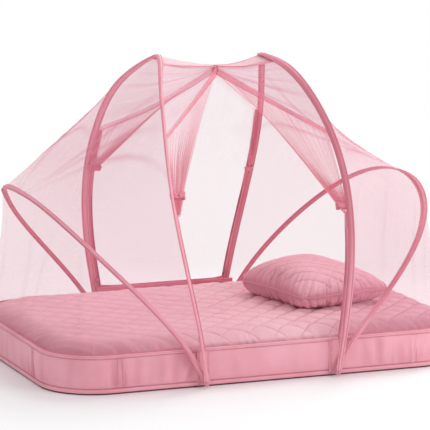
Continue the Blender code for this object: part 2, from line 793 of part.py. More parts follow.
def net_side(side_name, side):
    """Everything on one side: the low hoop, the tall hoop and all the cloth they carry."""
    place = (side * foot_x, 0, pivot_height)
    low_pivot = make_pivot(f"{side_name}_low_pivot", place)
    tall_pivot = make_pivot(f"{side_name}_tall_pivot", place)
    tall_pivot.parent = low_pivot
    tall_pivot.matrix_parent_inverse = low_pivot.matrix_world.inverted()
    bpy.context.view_layer.update()
    hoop_parts(f"{side_name}_low_hoop", low_hoop, side, low_pivot)
    hoop_parts(f"{side_name}_tall_hoop", tall_hoop, side, tall_pivot)
    make_object(f"{side_name}_end_net", *cloth(end_net(side), net_thickness), net)
    make_object(f"{side_name}_side_net", *cloth(side_net(side), net_thickness), net, tall_pivot)
    make_object(f"{side_name}_ridge_band", *cloth(ridge_half(side), net_thickness), tape_fabric, tall_pivot)
    make_object(f"{side_name}_rear_wall_net", *cloth(rear_wall(side), net_thickness), net, tall_pivot)
    for face_name, face in faces.items():
        label = f"{side_name}_{face_name}"
        make_object(f"{label}_roof_gusset", *cloth(gusset(side, face), net_thickness), net, tall_pivot)
        make_object(f"{label}_net_leaf", *cloth(leaf(side, face), leaf_thickness), net, tall_pivot)
        make_object(f"{label}_leaf_tie", *leaf_tie(side, face), tape_fabric, tall_pivot)
        make_object(f"{label}_zip_tape", *cloth(zip_tape(side, face), zip_thickness), tape_fabric, tall_pivot)
        slider_pivot = make_pivot(f"{label}_slider_pivot", slider_path(side, face)[0])
        make_object(f"{label}_zip_slider", *zip_slider(side, face), cap_plastic, slider_pivot)


for leftover in list(bpy.data.objects):
    bpy.data.objects.remove(leftover)

base_fabric = make_material("base_fabric", (0.74, 0.36, 0.42), 0.70)
binding_fabric = make_material("binding_fabric", (0.78, 0.42, 0.47), 0.75)
quilt_fabric = make_material("quilt_fabric", (0.80, 0.47, 0.52), 0.80)
tape_fabric = make_material("tape_fabric", (0.68, 0.28, 0.35), 0.70)
net = make_material("net", (0.84, 0.55, 0.60), 0.85)
foam = make_material("foam", (0.90, 0.88, 0.84), 0.90)
cap_plastic = make_material("cap_plastic", (0.74, 0.33, 0.40), 0.45)
steel = make_material("steel", (0.62, 0.62, 0.64), 0.35, 1.0)

base()
mattress()
pillow(make_pivot("pillow_pivot", (*pillow_centre, mattress_crown)))
for side_name, side in sides.items():
    net_side(side_name, side)
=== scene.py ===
import math
from types import SimpleNamespace

import bmesh
import bpy
import numpy as np
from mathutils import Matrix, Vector


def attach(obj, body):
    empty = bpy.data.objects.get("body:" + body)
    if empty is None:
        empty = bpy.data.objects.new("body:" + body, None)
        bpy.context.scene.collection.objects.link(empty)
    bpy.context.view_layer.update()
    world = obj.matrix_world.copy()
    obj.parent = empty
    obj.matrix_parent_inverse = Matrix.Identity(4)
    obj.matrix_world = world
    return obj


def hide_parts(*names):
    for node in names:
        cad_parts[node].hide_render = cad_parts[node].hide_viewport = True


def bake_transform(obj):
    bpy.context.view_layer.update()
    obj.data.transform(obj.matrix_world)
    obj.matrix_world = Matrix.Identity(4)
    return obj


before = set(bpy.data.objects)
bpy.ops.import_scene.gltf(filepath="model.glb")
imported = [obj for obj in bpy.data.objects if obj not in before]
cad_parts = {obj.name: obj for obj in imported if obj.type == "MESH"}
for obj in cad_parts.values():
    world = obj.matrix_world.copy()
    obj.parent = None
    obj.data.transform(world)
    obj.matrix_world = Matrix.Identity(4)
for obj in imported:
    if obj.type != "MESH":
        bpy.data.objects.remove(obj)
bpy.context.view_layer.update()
print("frame loaded")

# Sizes that several pieces share, in metres. The origin is the middle of the underside,
# +X runs to the right-hand end and -Y is the open doorway.
tray = {
    "halfLength": 0.483, "halfWidth": 0.325, "cornerRadius": 0.125, "rimTop": 0.0850, "footX": 0.154, "pivotHeight": 0.012,
}
# where the arcs of the tray's corners have their centres
boxX, boxY = tray["halfLength"] - tray["cornerRadius"], tray["halfWidth"] - tray["cornerRadius"]
# pulls, by side: where the net pulls a hoop off its even curve, as turn, spread, and the shift in x and z
lowHoop = {
    "rise": 0.376, "lean": (0.152985, 0.34216, -0.197071), "roundness": 2.95, "flare": 0.099,
    "belly": 0.130, "span": 0.335, "width": 0.015, "thickness": 0.0062,
    "pulls": {-1: ((1.80, 0.22, -0.0145, 0.011),), 1: ()},
}
tallHoop = {
    "rise": 0.661, "lean": (0.084, 0.161, -0.267), "roundness": 2.0, "flare": -0.181,
    "belly": 0.200, "span": 0.347, "width": 0.018, "thickness": 0.0062,
    "pulls": {
        -1: ((1.22, 0.26, -0.0135, 0.0), (2.12, 0.22, -0.0068, 0.0062), (1.53, 0.12, -0.003, 0.006)),
        1: ((1.55, 0.20, -0.0185, -0.0035), (0.45, 0.35, -0.0045, 0.0)),
    },
}
# how far each leg of a tall hoop turns its sleeve, in degrees, and how near the top that ends
legTwist = {(-1, -1): (54.0, 9), (-1, 1): (35.0, 4), (1, -1): (35.0, 12), (1, 1): (6.0, 4)}
sideSigns = {"left": -1, "right": 1}
faceSigns = {"front": -1, "rear": 1}
legs = [
    SimpleNamespace(
        sideName=sideName, side=side, faceName=faceName, face=face, label=sideName + faceName.title(),
        node=f"{sideName}_{faceName}", body=f"{sideName}_tall",
    )
    for sideName, side in sideSigns.items() for faceName, face in faceSigns.items()
]


# Mesh helpers

def unit(vectors):
    vectors = np.asarray(vectors, float)
    return vectors / np.maximum(np.linalg.norm(vectors, axis=-1, keepdims=True), 1e-12)


def squareTo(along, vectors):
    return unit(vectors - along * (vectors * along).sum(-1, keepdims=True))


def sameWay(vectors, towards):
    return np.where((vectors * towards).sum(-1, keepdims=True) < 0, -vectors, vectors)


def ease(t):
    t = np.clip(t, 0, 1)
    return t * t * (3 - 2 * t)


def cloudy(x, y, size, seed):
    # smooth noise from -1 to 1 over a plane, its lumps about size across
    table = np.random.default_rng(seed).uniform(-1, 1, (61, 67))
    gx, gy = np.asarray(x, float) / size + 500.0, np.asarray(y, float) / size + 500.0
    ix, iy = np.floor(gx).astype(int), np.floor(gy).astype(int)
    fx, fy = ease(gx - ix), ease(gy - iy)
    a, b = table[ix % 61, iy % 67], table[(ix + 1) % 61, iy % 67]
    c, d = table[ix % 61, (iy + 1) % 67], table[(ix + 1) % 61, (iy + 1) % 67]
    return (a * (1 - fx) + b * fx) * (1 - fy) + (c * (1 - fx) + d * fx) * fy


def cloudyLine(t, size, seed):
    return cloudy(t, np.zeros_like(np.asarray(t, float)) + 0.37 * size, size, seed)


def arcLengths(points, axis):
    steps = np.linalg.norm(np.diff(points, axis=axis), axis=-1)
    start = np.zeros_like(np.take(steps, [0], axis=axis))
    return np.cumsum(np.concatenate([start, steps], axis=axis), axis=axis)


def setFloat(mesh, name, values):
    layer = mesh.attributes.new(name, "FLOAT", "POINT")
    layer.data.foreach_set("value", np.asarray(values, np.float32).ravel())


def meshPlaces(mesh, kind="co"):
    places = np.zeros(len(mesh.vertices) * 3)
    mesh.vertices.foreach_get(kind, places)
    return places.reshape(-1, 3)


def meshFrom(name, points, quads, tris=(), uvQuads=None, uvTris=None, closed=False):
    points = np.asarray(points, np.float64).reshape(-1, 3)
    quads, tris = np.asarray(quads, np.int64).reshape(-1, 4), np.asarray(tris, np.int64).reshape(-1, 3)
    uvQuads = np.zeros((len(quads), 4, 2)) if uvQuads is None else np.asarray(uvQuads).reshape(-1, 4, 2)
    uvTris = np.zeros((len(tris), 3, 2)) if uvTris is None else np.asarray(uvTris).reshape(-1, 3, 2)
    if closed:  # faces turn outwards
        corners = np.concatenate([quads[:, [0, 1, 2]], quads[:, [0, 2, 3]], tris])
        a, b, c = points[corners[:, 0]], points[corners[:, 1]], points[corners[:, 2]]
        if (a * np.cross(b, c)).sum() < 0:
            quads, uvQuads, tris, uvTris = quads[:, ::-1], uvQuads[:, ::-1], tris[:, ::-1], uvTris[:, ::-1]
    mesh = bpy.data.meshes.new(name)
    mesh.vertices.add(len(points))
    mesh.vertices.foreach_set("co", points.astype(np.float32).ravel())
    corners = np.concatenate([quads.ravel(), tris.ravel()]).astype(np.int32)
    sizes = np.concatenate([np.full(len(quads), 4), np.full(len(tris), 3)])
    mesh.loops.add(len(corners))
    mesh.loops.foreach_set("vertex_index", corners)
    mesh.polygons.add(len(sizes))
    mesh.polygons.foreach_set("loop_start", np.append(0, np.cumsum(sizes)[:-1]).astype(np.int32))
    mesh.update(calc_edges=True)
    flat = np.concatenate([uvQuads.reshape(-1, 2), uvTris.reshape(-1, 2)]).astype(np.float32)
    mesh.uv_layers.new(name="UVMap").data.foreach_set("uv", flat.ravel())
    mesh.validate()
    mesh.shade_smooth()
    return mesh


def gridQuads(rows, count, around=False, looped=False):
    # faces between rows of count points; around joins the last column to the first, looped the last row
    i = np.arange(rows if looped else rows - 1)[:, None]
    j = np.arange(count if around else count - 1)[None, :]
    right, up = (j + 1) % count, (i + 1) % rows
    return np.stack([i * count + j, i * count + right, up * count + right, up * count + j], -1).reshape(-1, 4)


def blendGrid(start, end, v):
    # rows of points that run from one line at v = 0 to another at v = 1
    return start[None] * (1 - v[..., None]) + end[None] * v[..., None]


def sheetMesh(name, grid, shade, columns=None):
    # an open sheet through a grid of points, its UV map in metres along the cloth
    rows, count = grid.shape[:2]
    u = arcLengths(grid, 1)
    u = u - u[:, [count // 2]] if columns is None else u + columns
    quads = gridQuads(rows, count)
    mesh = meshFrom(name, grid, quads, uvQuads=np.stack([u, arcLengths(grid, 0)], -1).reshape(-1, 2)[quads])
    setFloat(mesh, "foldShade", shade * np.ones_like(u))
    return mesh


def loftMesh(name, rings, looped=False):
    # a closed body through rings of points; looped joins the last ring to the first
    rings = np.asarray(rings, float)
    rows, count = rings.shape[:2]
    around = arcLengths(np.concatenate([rings, rings[:, :1]], 1), 1).max(axis=0)
    centres = rings.mean(axis=1)
    walked = arcLengths(centres, 0)
    if looped:
        walked = np.append(walked, walked[-1] + np.linalg.norm(centres[0] - centres[-1]))
    i, j = np.arange(rows if looped else rows - 1)[:, None], np.arange(count)[None, :]
    corners = ((0, 0), (1, 0), (1, 1), (0, 1))
    uv = [np.stack(np.broadcast_arrays(around[j + right], walked[i + up]), -1) for right, up in corners]
    points, tris, flat = rings.reshape(-1, 3), (), None
    if not looped:
        points = np.concatenate([points, centres[[0]], centres[[-1]]])
        j = np.arange(count)
        right, final = (j + 1) % count, (rows - 1) * count
        tris = np.concatenate([
            np.stack([right, j, np.full(count, rows * count)], -1),
            np.stack([final + j, final + right, np.full(count, rows * count + 1)], -1),
        ])
        flat = points[tris] @ np.array([[1, 0], [0, 1], [0.3, 0.3]])
    return meshFrom(name, points, gridQuads(rows, count, True, looped), tris, np.stack(uv, 2), flat, closed=True)


def ribbonRings(path, across, width, thickness, ring=12, square=0.55, rounded=True):
    # rings of a flat ribbon along a path; across is its wide direction
    path, across = np.asarray(path, float), np.broadcast_to(np.asarray(across, float), np.shape(path))
    along = unit(np.gradient(path, axis=0))
    across = squareTo(along, across)
    normal = np.cross(along, across)
    angle = 2 * np.pi * np.arange(ring) / ring
    wide = np.sign(np.cos(angle)) * np.abs(np.cos(angle)) ** square
    deep = np.sign(np.sin(angle)) * np.abs(np.sin(angle)) ** 0.9
    width, thickness = (np.broadcast_to(np.asarray(size, float), len(path)).copy() for size in (width, thickness))
    if rounded:
        walked = arcLengths(path, 0)
        for end in (walked, walked[-1] - walked):
            near = np.clip(end / (thickness * 0.9), 0, 1)
            shut = np.sqrt(np.maximum(1 - (1 - near) ** 2, 0.02))
            width, thickness = width - thickness * 0.5 * (1 - shut), thickness * shut
    return (
        path[:, None] + across[:, None] * (wide[None, :, None] * width[:, None, None] / 2)
        + normal[:, None] * (deep[None, :, None] * thickness[:, None, None] / 2)
    )


def ribbonPiece(name, path, across, width, thickness, material, body, ring=12, square=0.55, nodes=()):
    mesh = loftMesh(name, ribbonRings(path, across, width, thickness, ring, square))
    addPiece(mesh, material, body, nodes)


def loopMesh(name, path, across, width, thickness, ring=8, square=1.0):
    # a ribbon whose end runs back into its start
    rings = ribbonRings(np.concatenate([path, path[:2]]), across, width, thickness, ring, square, rounded=False)
    return loftMesh(name, rings[1:-1], looped=True)


def boxUv(mesh):
    # UV in metres from the side that each face looks to
    mesh.update()
    layer = mesh.uv_layers.get("UVMap") or mesh.uv_layers.new(name="UVMap")
    for polygon in mesh.polygons:
        drop = max(range(3), key=lambda axis: abs(polygon.normal[axis]))
        kept = [axis for axis in range(3) if axis != drop]
        for corner in polygon.loop_indices:
            place = mesh.vertices[mesh.loops[corner].vertex_index].co
            layer.data[corner].uv = (place[kept[0]], place[kept[1]])


def joinMeshes(name, meshes):
    shape = bmesh.new()
    for mesh in meshes:
        shape.from_mesh(mesh)
    joined = bpy.data.meshes.new(name)
    shape.to_mesh(joined)
    shape.free()
    for mesh in meshes:
        bpy.data.meshes.remove(mesh)
    joined.shade_smooth()
    return joined


def slabMesh(name, centre, wideAxis, longAxis, width, length, thickness, steps, corner, edge, dent=None):
    # a soft-edged slab: wideAxis and longAxis are unit vectors, corner rounds its outline
    centre, wideAxis, longAxis = np.asarray(centre, float), unit(wideAxis), unit(longAxis)
    normal = np.cross(wideAxis, longAxis)
    a, b = np.meshgrid(*(np.sin(np.pi / 2 * np.linspace(-1, 1, count + 1)) for count in steps), indexing="ij")
    pull = corner * min(width, length) / 2
    past = (np.abs(b) * length / 2 - (length / 2 - pull)).clip(0)
    x = a * (width / 2 - pull * (1 - np.sqrt(np.clip(1 - past**2 / pull**2, 0, 1))))
    y = b * length / 2
    lift = thickness / 2 * ((1 - a**8) * (1 - b**8)).clip(0) ** edge
    points, place, quads = [], {}, []
    rows, columns = a.shape
    for top in (1, -1):
        for i in range(rows):
            for j in range(columns):
                if top < 0 and (i in (0, rows - 1) or j in (0, columns - 1)):
                    place[(top, i, j)] = place[(1, i, j)]
                    continue
                place[(top, i, j)] = len(points)
                extra = dent(x[i, j], y[i, j]) if dent is not None and top > 0 else 0
                points.append(centre + wideAxis * x[i, j] + longAxis * y[i, j] + normal * (top * lift[i, j] + extra))
        for i in range(rows - 1):
            for j in range(columns - 1):
                quad = [place[(top, i, j)], place[(top, i + 1, j)], place[(top, i + 1, j + 1)], place[(top, i, j + 1)]]
                quads.append(quad[::top])
    mesh = meshFrom(name, np.array(points), quads, closed=True)
    boxUv(mesh)
    return mesh


def addPiece(mesh, material, body, nodes=()):
    piece = bpy.data.objects.new(mesh.name, mesh)
    bpy.context.scene.collection.objects.link(piece)
    mesh.materials.clear()
    mesh.materials.append(material)
    if body:
        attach(piece, body)
    if nodes:
        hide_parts(*nodes)
    return piece


# Materials

def tone(red, green, blue):
    # a screen colour from 0 to 255 as the shader wants it
    screen = (red / 255, green / 255, blue / 255)
    return tuple(c / 12.92 if c <= 0.04045 else ((c + 0.055) / 1.055) ** 2.4 for c in screen) + (1.0,)


class Nodes:
    # a node tree and short ways to add to it; inputs hold values, or the sockets that feed them
    def __init__(self, tree):
        self.tree = tree

    def feed(self, node, inputs):
        for key, value in inputs.items():
            if isinstance(value, bpy.types.NodeSocket):
                self.tree.links.new(value, node.inputs[key])
            else:
                node.inputs[key].default_value = value
        return node

    def add(self, kind, inputs=None, **settings):
        node = self.tree.nodes.new(kind)
        for key, value in settings.items():
            setattr(node, key, value)
        return self.feed(node, inputs or {})

    def math(self, operation, *inputs, **settings):
        return self.add("ShaderNodeMath", dict(enumerate(inputs)), operation=operation, **settings).outputs[0]

    def ranged(self, value, low=0.0, high=1.0, first=0.0, last=1.0, **settings):
        inputs = {"Value": value, "From Min": low, "From Max": high, "To Min": first, "To Max": last}
        return self.add("ShaderNodeMapRange", inputs, **settings).outputs[0]

    def noise(self, place, scale, detail=2.0, **inputs):
        inputs = {"Vector": place, "Scale": scale, "Detail": detail, **inputs}
        return self.add("ShaderNodeTexNoise", inputs).outputs["Fac"]

    def mix(self, share, first, second):
        return self.add("ShaderNodeMix", {0: share, 6: first, 7: second}, data_type="RGBA").outputs[2]

    def bump(self, strength, distance, height, **inputs):
        inputs = {"Strength": strength, "Distance": distance, "Height": height, **inputs}
        return self.add("ShaderNodeBump", inputs).outputs["Normal"]

    def place(self, kind="Object"):
        return self.add("ShaderNodeTexCoord").outputs[kind]

    def drawn(self, name):
        return self.add("ShaderNodeAttribute", attribute_name=name).outputs["Fac"]


def startMaterial(name):
    material = bpy.data.materials.new(name)
    material.use_nodes = True
    return material, Nodes(material.node_tree), material.node_tree.nodes["Principled BSDF"]


def clothMaterial(name, colour, deep, weave, roughness, **look):
    # woven cloth: mottled, with warp and weft from the piece's own UV map, and a deeper colour, painted shade, where
    # the mesh marks seams and shaded places
    material, nodes, shader = startMaterial(name)
    place, split = nodes.place(), nodes.add("ShaderNodeSeparateXYZ", {0: nodes.place("UV")}).outputs
    waves = [nodes.math("SINE", nodes.math("MULTIPLY", split[k], 2 * math.pi / weave)) for k in (0, 1)]
    threads = nodes.math("MULTIPLY", *waves)
    broad = nodes.noise(place, look.get("mottleScale", 9.0), 4.0, Roughness=0.6)
    speck = nodes.math("MULTIPLY_ADD", nodes.noise(place, 620.0), 0.34, -0.17)
    mottle = nodes.math("ADD", nodes.ranged(broad, 0.34, 0.66), speck, use_clamp=True)
    weft = nodes.math("MULTIPLY_ADD", threads, 0.10, mottle, use_clamp=True)
    base = nodes.mix(weft, tone(*deep), tone(*colour))
    # painted shade: the deeper colour goes where the mesh's attribute marks seams, valleys and shaded places
    if "seam" in look:
        base = nodes.mix(nodes.drawn("seam"), base, tone(*look["seam"]))
    creases = nodes.noise(place, look.get("creaseScale", 55.0), 3.0, Distortion=0.4)
    creased = nodes.bump(look.get("crease", 0.25), 0.0012, creases)
    nodes.feed(shader, {
        "Base Color": base, "Roughness": nodes.ranged(broad, first=roughness + 0.07, last=roughness - 0.07),
        "Normal": nodes.bump(0.35, 0.00025, threads, Normal=creased), "Specular IOR Level": look.get("specular", 0.3),
        "Sheen Weight": look.get("sheen", 0.2), "Sheen Roughness": 0.45, "Sheen Tint": tone(*colour),
    })
    return material


def netMaterial(name, colour, deep, glow, thread=0.0004, cover=0.30, foldCover=0.42, pitch=0.0015, film=0.05):
    # fine square mesh: threads let less light through than the holes, and folds less still; it also glows a little in
    # its own colour, painted light for the light that shines through the thin cloth
    material, nodes, shader = startMaterial(name)
    split = nodes.add("ShaderNodeSeparateXYZ", {0: nodes.place("UV")}).outputs
    away = [nodes.math("PINGPONG", split[k], pitch / 2) for k in (0, 1)]
    threads = nodes.math("MAXIMUM", *(nodes.ranged(line, thread * 0.3, thread * 0.8, 1.0, 0.0) for line in away))
    cloud = nodes.noise(nodes.place(), 14.0, 3.0)
    woven = nodes.math("MULTIPLY_ADD", threads, cover, nodes.ranged(cloud, 0.3, 0.7, film * 0.8, film * 1.2))
    nodes.feed(shader, {
        "Alpha": nodes.math("MULTIPLY_ADD", nodes.drawn("foldShade"), foldCover, woven, use_clamp=True),
        "Base Color": nodes.mix(nodes.ranged(cloud, 0.35, 0.65), tone(*deep), tone(*colour)),
        "Normal": nodes.bump(0.2, 0.0003, threads), "Roughness": 0.75, "Specular IOR Level": 0.2, "Sheen Weight": 0.15,
        # painted light: a faint glow for the light that comes through the net
        "Emission Color": tone(*colour), "Emission Strength": glow,
    })
    return material


def mouldedMaterial(name, colour, deep, roughness, metallic=0.0):
    material, nodes, shader = startMaterial(name)
    worn = nodes.noise(nodes.place(), 90.0, 5.0, Roughness=0.65)
    nodes.feed(shader, {
        "Base Color": nodes.mix(worn, tone(*deep), tone(*colour)), "Metallic": metallic,
        "Roughness": nodes.ranged(worn, first=roughness - 0.08, last=roughness + 0.12),
        "Normal": nodes.bump(0.12, 0.0002, nodes.noise(nodes.place(), 900.0)),
    })
    return material


# the colour that a cloth gives for seams is its painted shade
rimSatin = clothMaterial(
    "rimSatin", (240, 172, 186), (231, 157, 171), 0.0007, 0.42,
    sheen=0.15, creaseScale=38.0, specular=0.45, seam=(206, 126, 143),
)
hemSatin = clothMaterial("hemSatin", (241, 173, 186), (231, 157, 171), 0.0007, 0.52, crease=0.2, specular=0.35)
# a dark cloth for the floor panel, its colour partly painted shadow under the tray
paintedShadowUnderCloth = clothMaterial("paintedShadowUnderCloth", (104, 66, 76), (84, 52, 60), 0.0012, 0.9, sheen=0.05)
quiltCotton = clothMaterial(
    "quiltCotton", (248, 203, 211), (242, 191, 201), 0.0008, 0.8,
    sheen=0.25, crease=0.3, creaseScale=46.0, mottleScale=6.0, seam=(172, 98, 114),
)
pillowCotton = clothMaterial(
    "pillowCotton", (246, 196, 206), (238, 181, 193), 0.0008, 0.78,
    sheen=0.25, crease=0.3, creaseScale=60.0, seam=(205, 138, 154),
)
sleeveTape = clothMaterial(
    "sleeveTape", (243, 176, 189), (236, 161, 176), 0.0009, 0.55, crease=0.3, creaseScale=120.0, seam=(206, 112, 131),
)
zipTapeCloth = clothMaterial(
    "zipTapeCloth", (228, 142, 160), (214, 122, 141), 0.0009, 0.62, crease=0.3, creaseScale=150.0,
)
ridgeSatin = clothMaterial("ridgeSatin", (246, 204, 211), (240, 191, 200), 0.0007, 0.58, sheen=0.25)
hipCloth = clothMaterial("hipCloth", (240, 168, 182), (228, 146, 163), 0.0007, 0.62, crease=0.35, creaseScale=140.0)
threadPink = clothMaterial("threadPink", (214, 146, 162), (202, 130, 148), 0.0004, 0.6, crease=0.1)
threadRose = clothMaterial("threadRose", (192, 112, 131), (180, 98, 118), 0.0004, 0.6, crease=0.1)
# the third number of each net is its painted glow
netTulle = netMaterial("netTulle", (222, 146, 168), (212, 130, 154), 0.10)
gatheredTulle = netMaterial(
    "gatheredTulle", (232, 150, 168), (222, 134, 154), 0.20, thread=0.00045, cover=0.26, foldCover=0.5,
)
wallTulle = netMaterial("wallTulle", (218, 172, 190), (208, 158, 177), 0.10)
pinPaint = mouldedMaterial("pinPaint", (214, 146, 160), (196, 126, 142), 0.42)
zipPlastic = mouldedMaterial("zipPlastic", (192, 112, 130), (174, 94, 112), 0.5)
zipMetal = mouldedMaterial("zipMetal", (212, 142, 157), (194, 122, 138), 0.42)
springSteel = mouldedMaterial("springSteel", (190, 190, 192), (160, 160, 164), 0.3, 1.0)


print("materials made")


# Stitches and zip teeth, laid along polylines by Geometry Nodes

def repeatTree(name, linkKind, linkInputs):
    # links of one kind along the edges of a mesh, each turned to its line and a little uneven in size
    tree = bpy.data.node_groups.new(name, "GeometryNodeTree")
    floats = ("Spacing", "Piece length", "Piece width", "Piece height", "Unevenness")
    kinds = {"Geometry": "Geometry", **{label: "Float" for label in floats}, "Seed": "Int", "Finish": "Material"}
    for label, kind in kinds.items():
        tree.interface.new_socket(label, in_out="INPUT", socket_type="NodeSocket" + kind)
    tree.interface.new_socket("Geometry", in_out="OUTPUT", socket_type="NodeSocketGeometry")
    nodes = Nodes(tree)
    given = nodes.add("NodeGroupInput").outputs
    curve = nodes.add("GeometryNodeMeshToCurve", {"Mesh": given["Geometry"]}).outputs["Curve"]
    points = nodes.add("GeometryNodeCurveToPoints", {"Curve": curve, "Length": given["Spacing"]}, mode="LENGTH").outputs
    aim = nodes.add("FunctionNodeAlignRotationToVector", {"Vector": points["Tangent"]}, axis="Z")
    ways = [given[f"Piece {way}"] for way in ("width", "height", "length")]
    size = nodes.add("ShaderNodeCombineXYZ", dict(zip("XYZ", ways)))
    low, high = (nodes.math(operation, 1.0, given["Unevenness"]) for operation in ("SUBTRACT", "ADD"))
    uneven = nodes.add("FunctionNodeRandomValue", {2: low, 3: high, "Seed": given["Seed"]}, data_type="FLOAT")
    scaled = nodes.add("ShaderNodeVectorMath", {0: size.outputs[0], "Scale": uneven.outputs[1]}, operation="SCALE")
    copies = nodes.add("GeometryNodeInstanceOnPoints", {
        "Points": points["Points"], "Instance": nodes.add(linkKind, linkInputs).outputs["Mesh"],
        "Rotation": aim.outputs["Rotation"], "Scale": scaled.outputs[0],
    })
    real = nodes.add("GeometryNodeRealizeInstances", {"Geometry": copies.outputs["Instances"]})
    finish = nodes.add("GeometryNodeSetMaterial", {"Geometry": real.outputs["Geometry"], "Material": given["Finish"]})
    nodes.add("NodeGroupOutput", {"Geometry": finish.outputs["Geometry"]})
    return tree


stitchTree = repeatTree("stitchRun", "GeometryNodeMeshIcoSphere", {"Radius": 0.5, "Subdivisions": 1})
toothTree = repeatTree("zipTeeth", "GeometryNodeMeshCube", {"Size": (1.0, 1.0, 1.0)})


def laidAlong(name, lines, tree, spacing, size, seed, material, body, uneven=0.12):
    # size is a link's width, height and length
    points, edges = [], []
    for line in lines:
        edges += [(len(points) + k, len(points) + k + 1) for k in range(len(line) - 1)]
        points += [tuple(point) for point in line]
    guide = bpy.data.meshes.new(name + "Guide")
    guide.from_pydata(points, edges, [])
    holder = bpy.data.objects.new(name + "Guide", guide)
    bpy.context.scene.collection.objects.link(holder)
    modifier = holder.modifiers.new("repeat", "NODES")
    modifier.node_group = tree
    sockets = {item.name: item.identifier for item in tree.interface.items_tree if item.in_out == "INPUT"}
    labels = ("Spacing", "Piece width", "Piece height", "Piece length", "Unevenness", "Seed", "Finish")
    for label, value in zip(labels, (spacing, *size, uneven, seed, material)):
        modifier[sockets[label]] = value
    bpy.context.view_layer.update()
    mesh = bpy.data.meshes.new_from_object(holder.evaluated_get(bpy.context.evaluated_depsgraph_get()))
    bpy.data.objects.remove(holder)
    bpy.data.meshes.remove(guide)
    mesh.name = name
    mesh.shade_smooth()
    # many small faces share one flat projection
    corners, places = np.zeros(len(mesh.loops), np.int32), meshPlaces(mesh)
    mesh.loops.foreach_get("vertex_index", corners)
    places = places[corners]
    flat = np.stack([places[:, 0] + places[:, 1] * 0.7, places[:, 2] + places[:, 1] * 0.5], -1)
    layer = mesh.uv_layers.get("UVMap") or mesh.uv_layers.new(name="UVMap")
    layer.data.foreach_set("uv", flat.astype(np.float32).ravel())
    return addPiece(mesh, material, body)


def stitches(name, lines, thread, body, spacing, length, thick, seed, uneven=0.12):
    laidAlong(name, lines, stitchTree, spacing, (thick, thick, length), seed, thread, body, uneven)


# Tray: floor panel, rim wall, hems, foot patches, sill band

rim = {
    "columns": 1150, "thickness": 0.006, "floorLift": 0.0030, "bottomHemTop": 0.0120, "topHemLow": 0.0792,
    "wrinkle": 0.0028, "seamPucker": 0.0062, "stitchSpacing": 0.0046,
    "cornerSeams": [
        (sx * x, sy * y) for x, y in ((0.343, -0.325), (0.483, -0.155)) for sx, sy in ((1, 1), (-1, 1), (1, -1), (-1, -1))
    ],
}


def trayWalk(count):
    # the tray's outline as a skeleton, its outward normals and the distance walked, from the rear middle
    x, y, arc = boxX, boxY, tray["cornerRadius"] * np.pi / 2
    # each stretch's length, its first and last point, and the normal's angle at each
    stretches = [
        (x, (0, y), (-x, y), 90, 90), (arc, (-x, y), (-x, y), 90, 180), (2 * y, (-x, y), (-x, -y), 180, 180),
        (arc, (-x, -y), (-x, -y), 180, 270), (2 * x, (-x, -y), (x, -y), 270, 270), (arc, (x, -y), (x, -y), 270, 360),
        (2 * y, (x, -y), (x, y), 0, 0), (arc, (x, y), (x, y), 0, 90), (x, (x, y), (0, y), 90, 90),
    ]
    walk = np.arange(count) * sum(stretch[0] for stretch in stretches) / count
    bones, normals, start = np.zeros((count, 2)), np.zeros((count, 2)), 0.0
    for length, first, last, low, high in stretches:
        inside = (walk >= start - 1e-9) & (walk < start + length)
        t = (walk[inside] - start)[:, None] / length
        bones[inside] = np.array(first) * (1 - t) + np.array(last) * t
        turn = np.radians(low + (high - low) * t)
        normals[inside] = np.concatenate([np.cos(turn), np.sin(turn)], -1)
        start += length
    return bones, normals, walk


def rimWrinkles(place, walk, z):
    # how far the wall's cloth stands out from plain, over columns and heights
    x, y = place.T
    height = (z[:, None] - rim["bottomHemTop"]) / (rim["topHemLow"] - rim["bottomHemTop"])
    out = np.zeros((len(z), len(walk)))
    slant = walk + 0.010 * height * cloudyLine(walk, 0.07, 5)
    for seamX, seamY in rim["cornerSeams"]:
        near = np.hypot(x - seamX, y - seamY)
        out += 0.0006 * np.exp(-(((near - 0.0045) / 0.003) ** 2)) - 0.0009 * np.exp(-((near / 0.0022) ** 2))
        pull = rim["seamPucker"] * np.exp(-near / 0.026)
        out += pull * cloudyLine(slant, 0.008, 11) * (0.55 + 0.45 * np.cos(np.pi * height))
    for footX in (-tray["footX"], tray["footX"]):
        near = np.abs(x - footX) + (np.abs(y) < tray["halfWidth"] - 0.001) * 9
        pull = 0.0016 * np.exp(-np.maximum(near - 0.012, 0) / 0.034) * (np.abs(x) > tray["footX"])
        out += pull * cloudyLine(walk + 0.030 * (height - 0.5) * np.sign(x - footX), 0.011, 17)
    # the wall is calmer below the doorway
    calm = np.where((y < -tray["halfWidth"] + 0.001) & (np.abs(x) < tray["footX"]), 0.12, 1.0)
    slant = walk + 0.012 * (height - 0.5) * cloudyLine(walk, 0.11, 7)
    strength = 0.6 + 0.4 * cloudy(walk[None], z[:, None] * 2, 0.06, 21)
    out += calm * rim["wrinkle"] * cloudyLine(slant, 0.017, 3) * strength
    out += calm * 0.0013 * cloudy(walk[None], z[:, None] * 1.5, 0.085, 23)
    gather = np.exp(-(height / 0.12) ** 2) + 0.8 * np.exp(-((1 - height) / 0.12) ** 2)
    out += calm * 0.00055 * gather * cloudyLine(walk, 0.0052, 31) * (0.5 + 0.5 * cloudyLine(walk, 0.09, 33))
    return out


def rimRing(profile, extra=0.0):
    # a closed band round the tray from (outward, height) pairs, with what stands out of its plain form added
    bones, normals, walk = trayWalk(rim["columns"])
    profile = np.array(profile)
    reach = (tray["cornerRadius"] + profile[:, [0]] * np.ones(len(walk)) + extra).T
    flat = bones[:, None] + normals[:, None] * reach[..., None]
    return np.concatenate([flat, np.broadcast_to(profile[:, 1], reach.shape)[..., None]], -1)


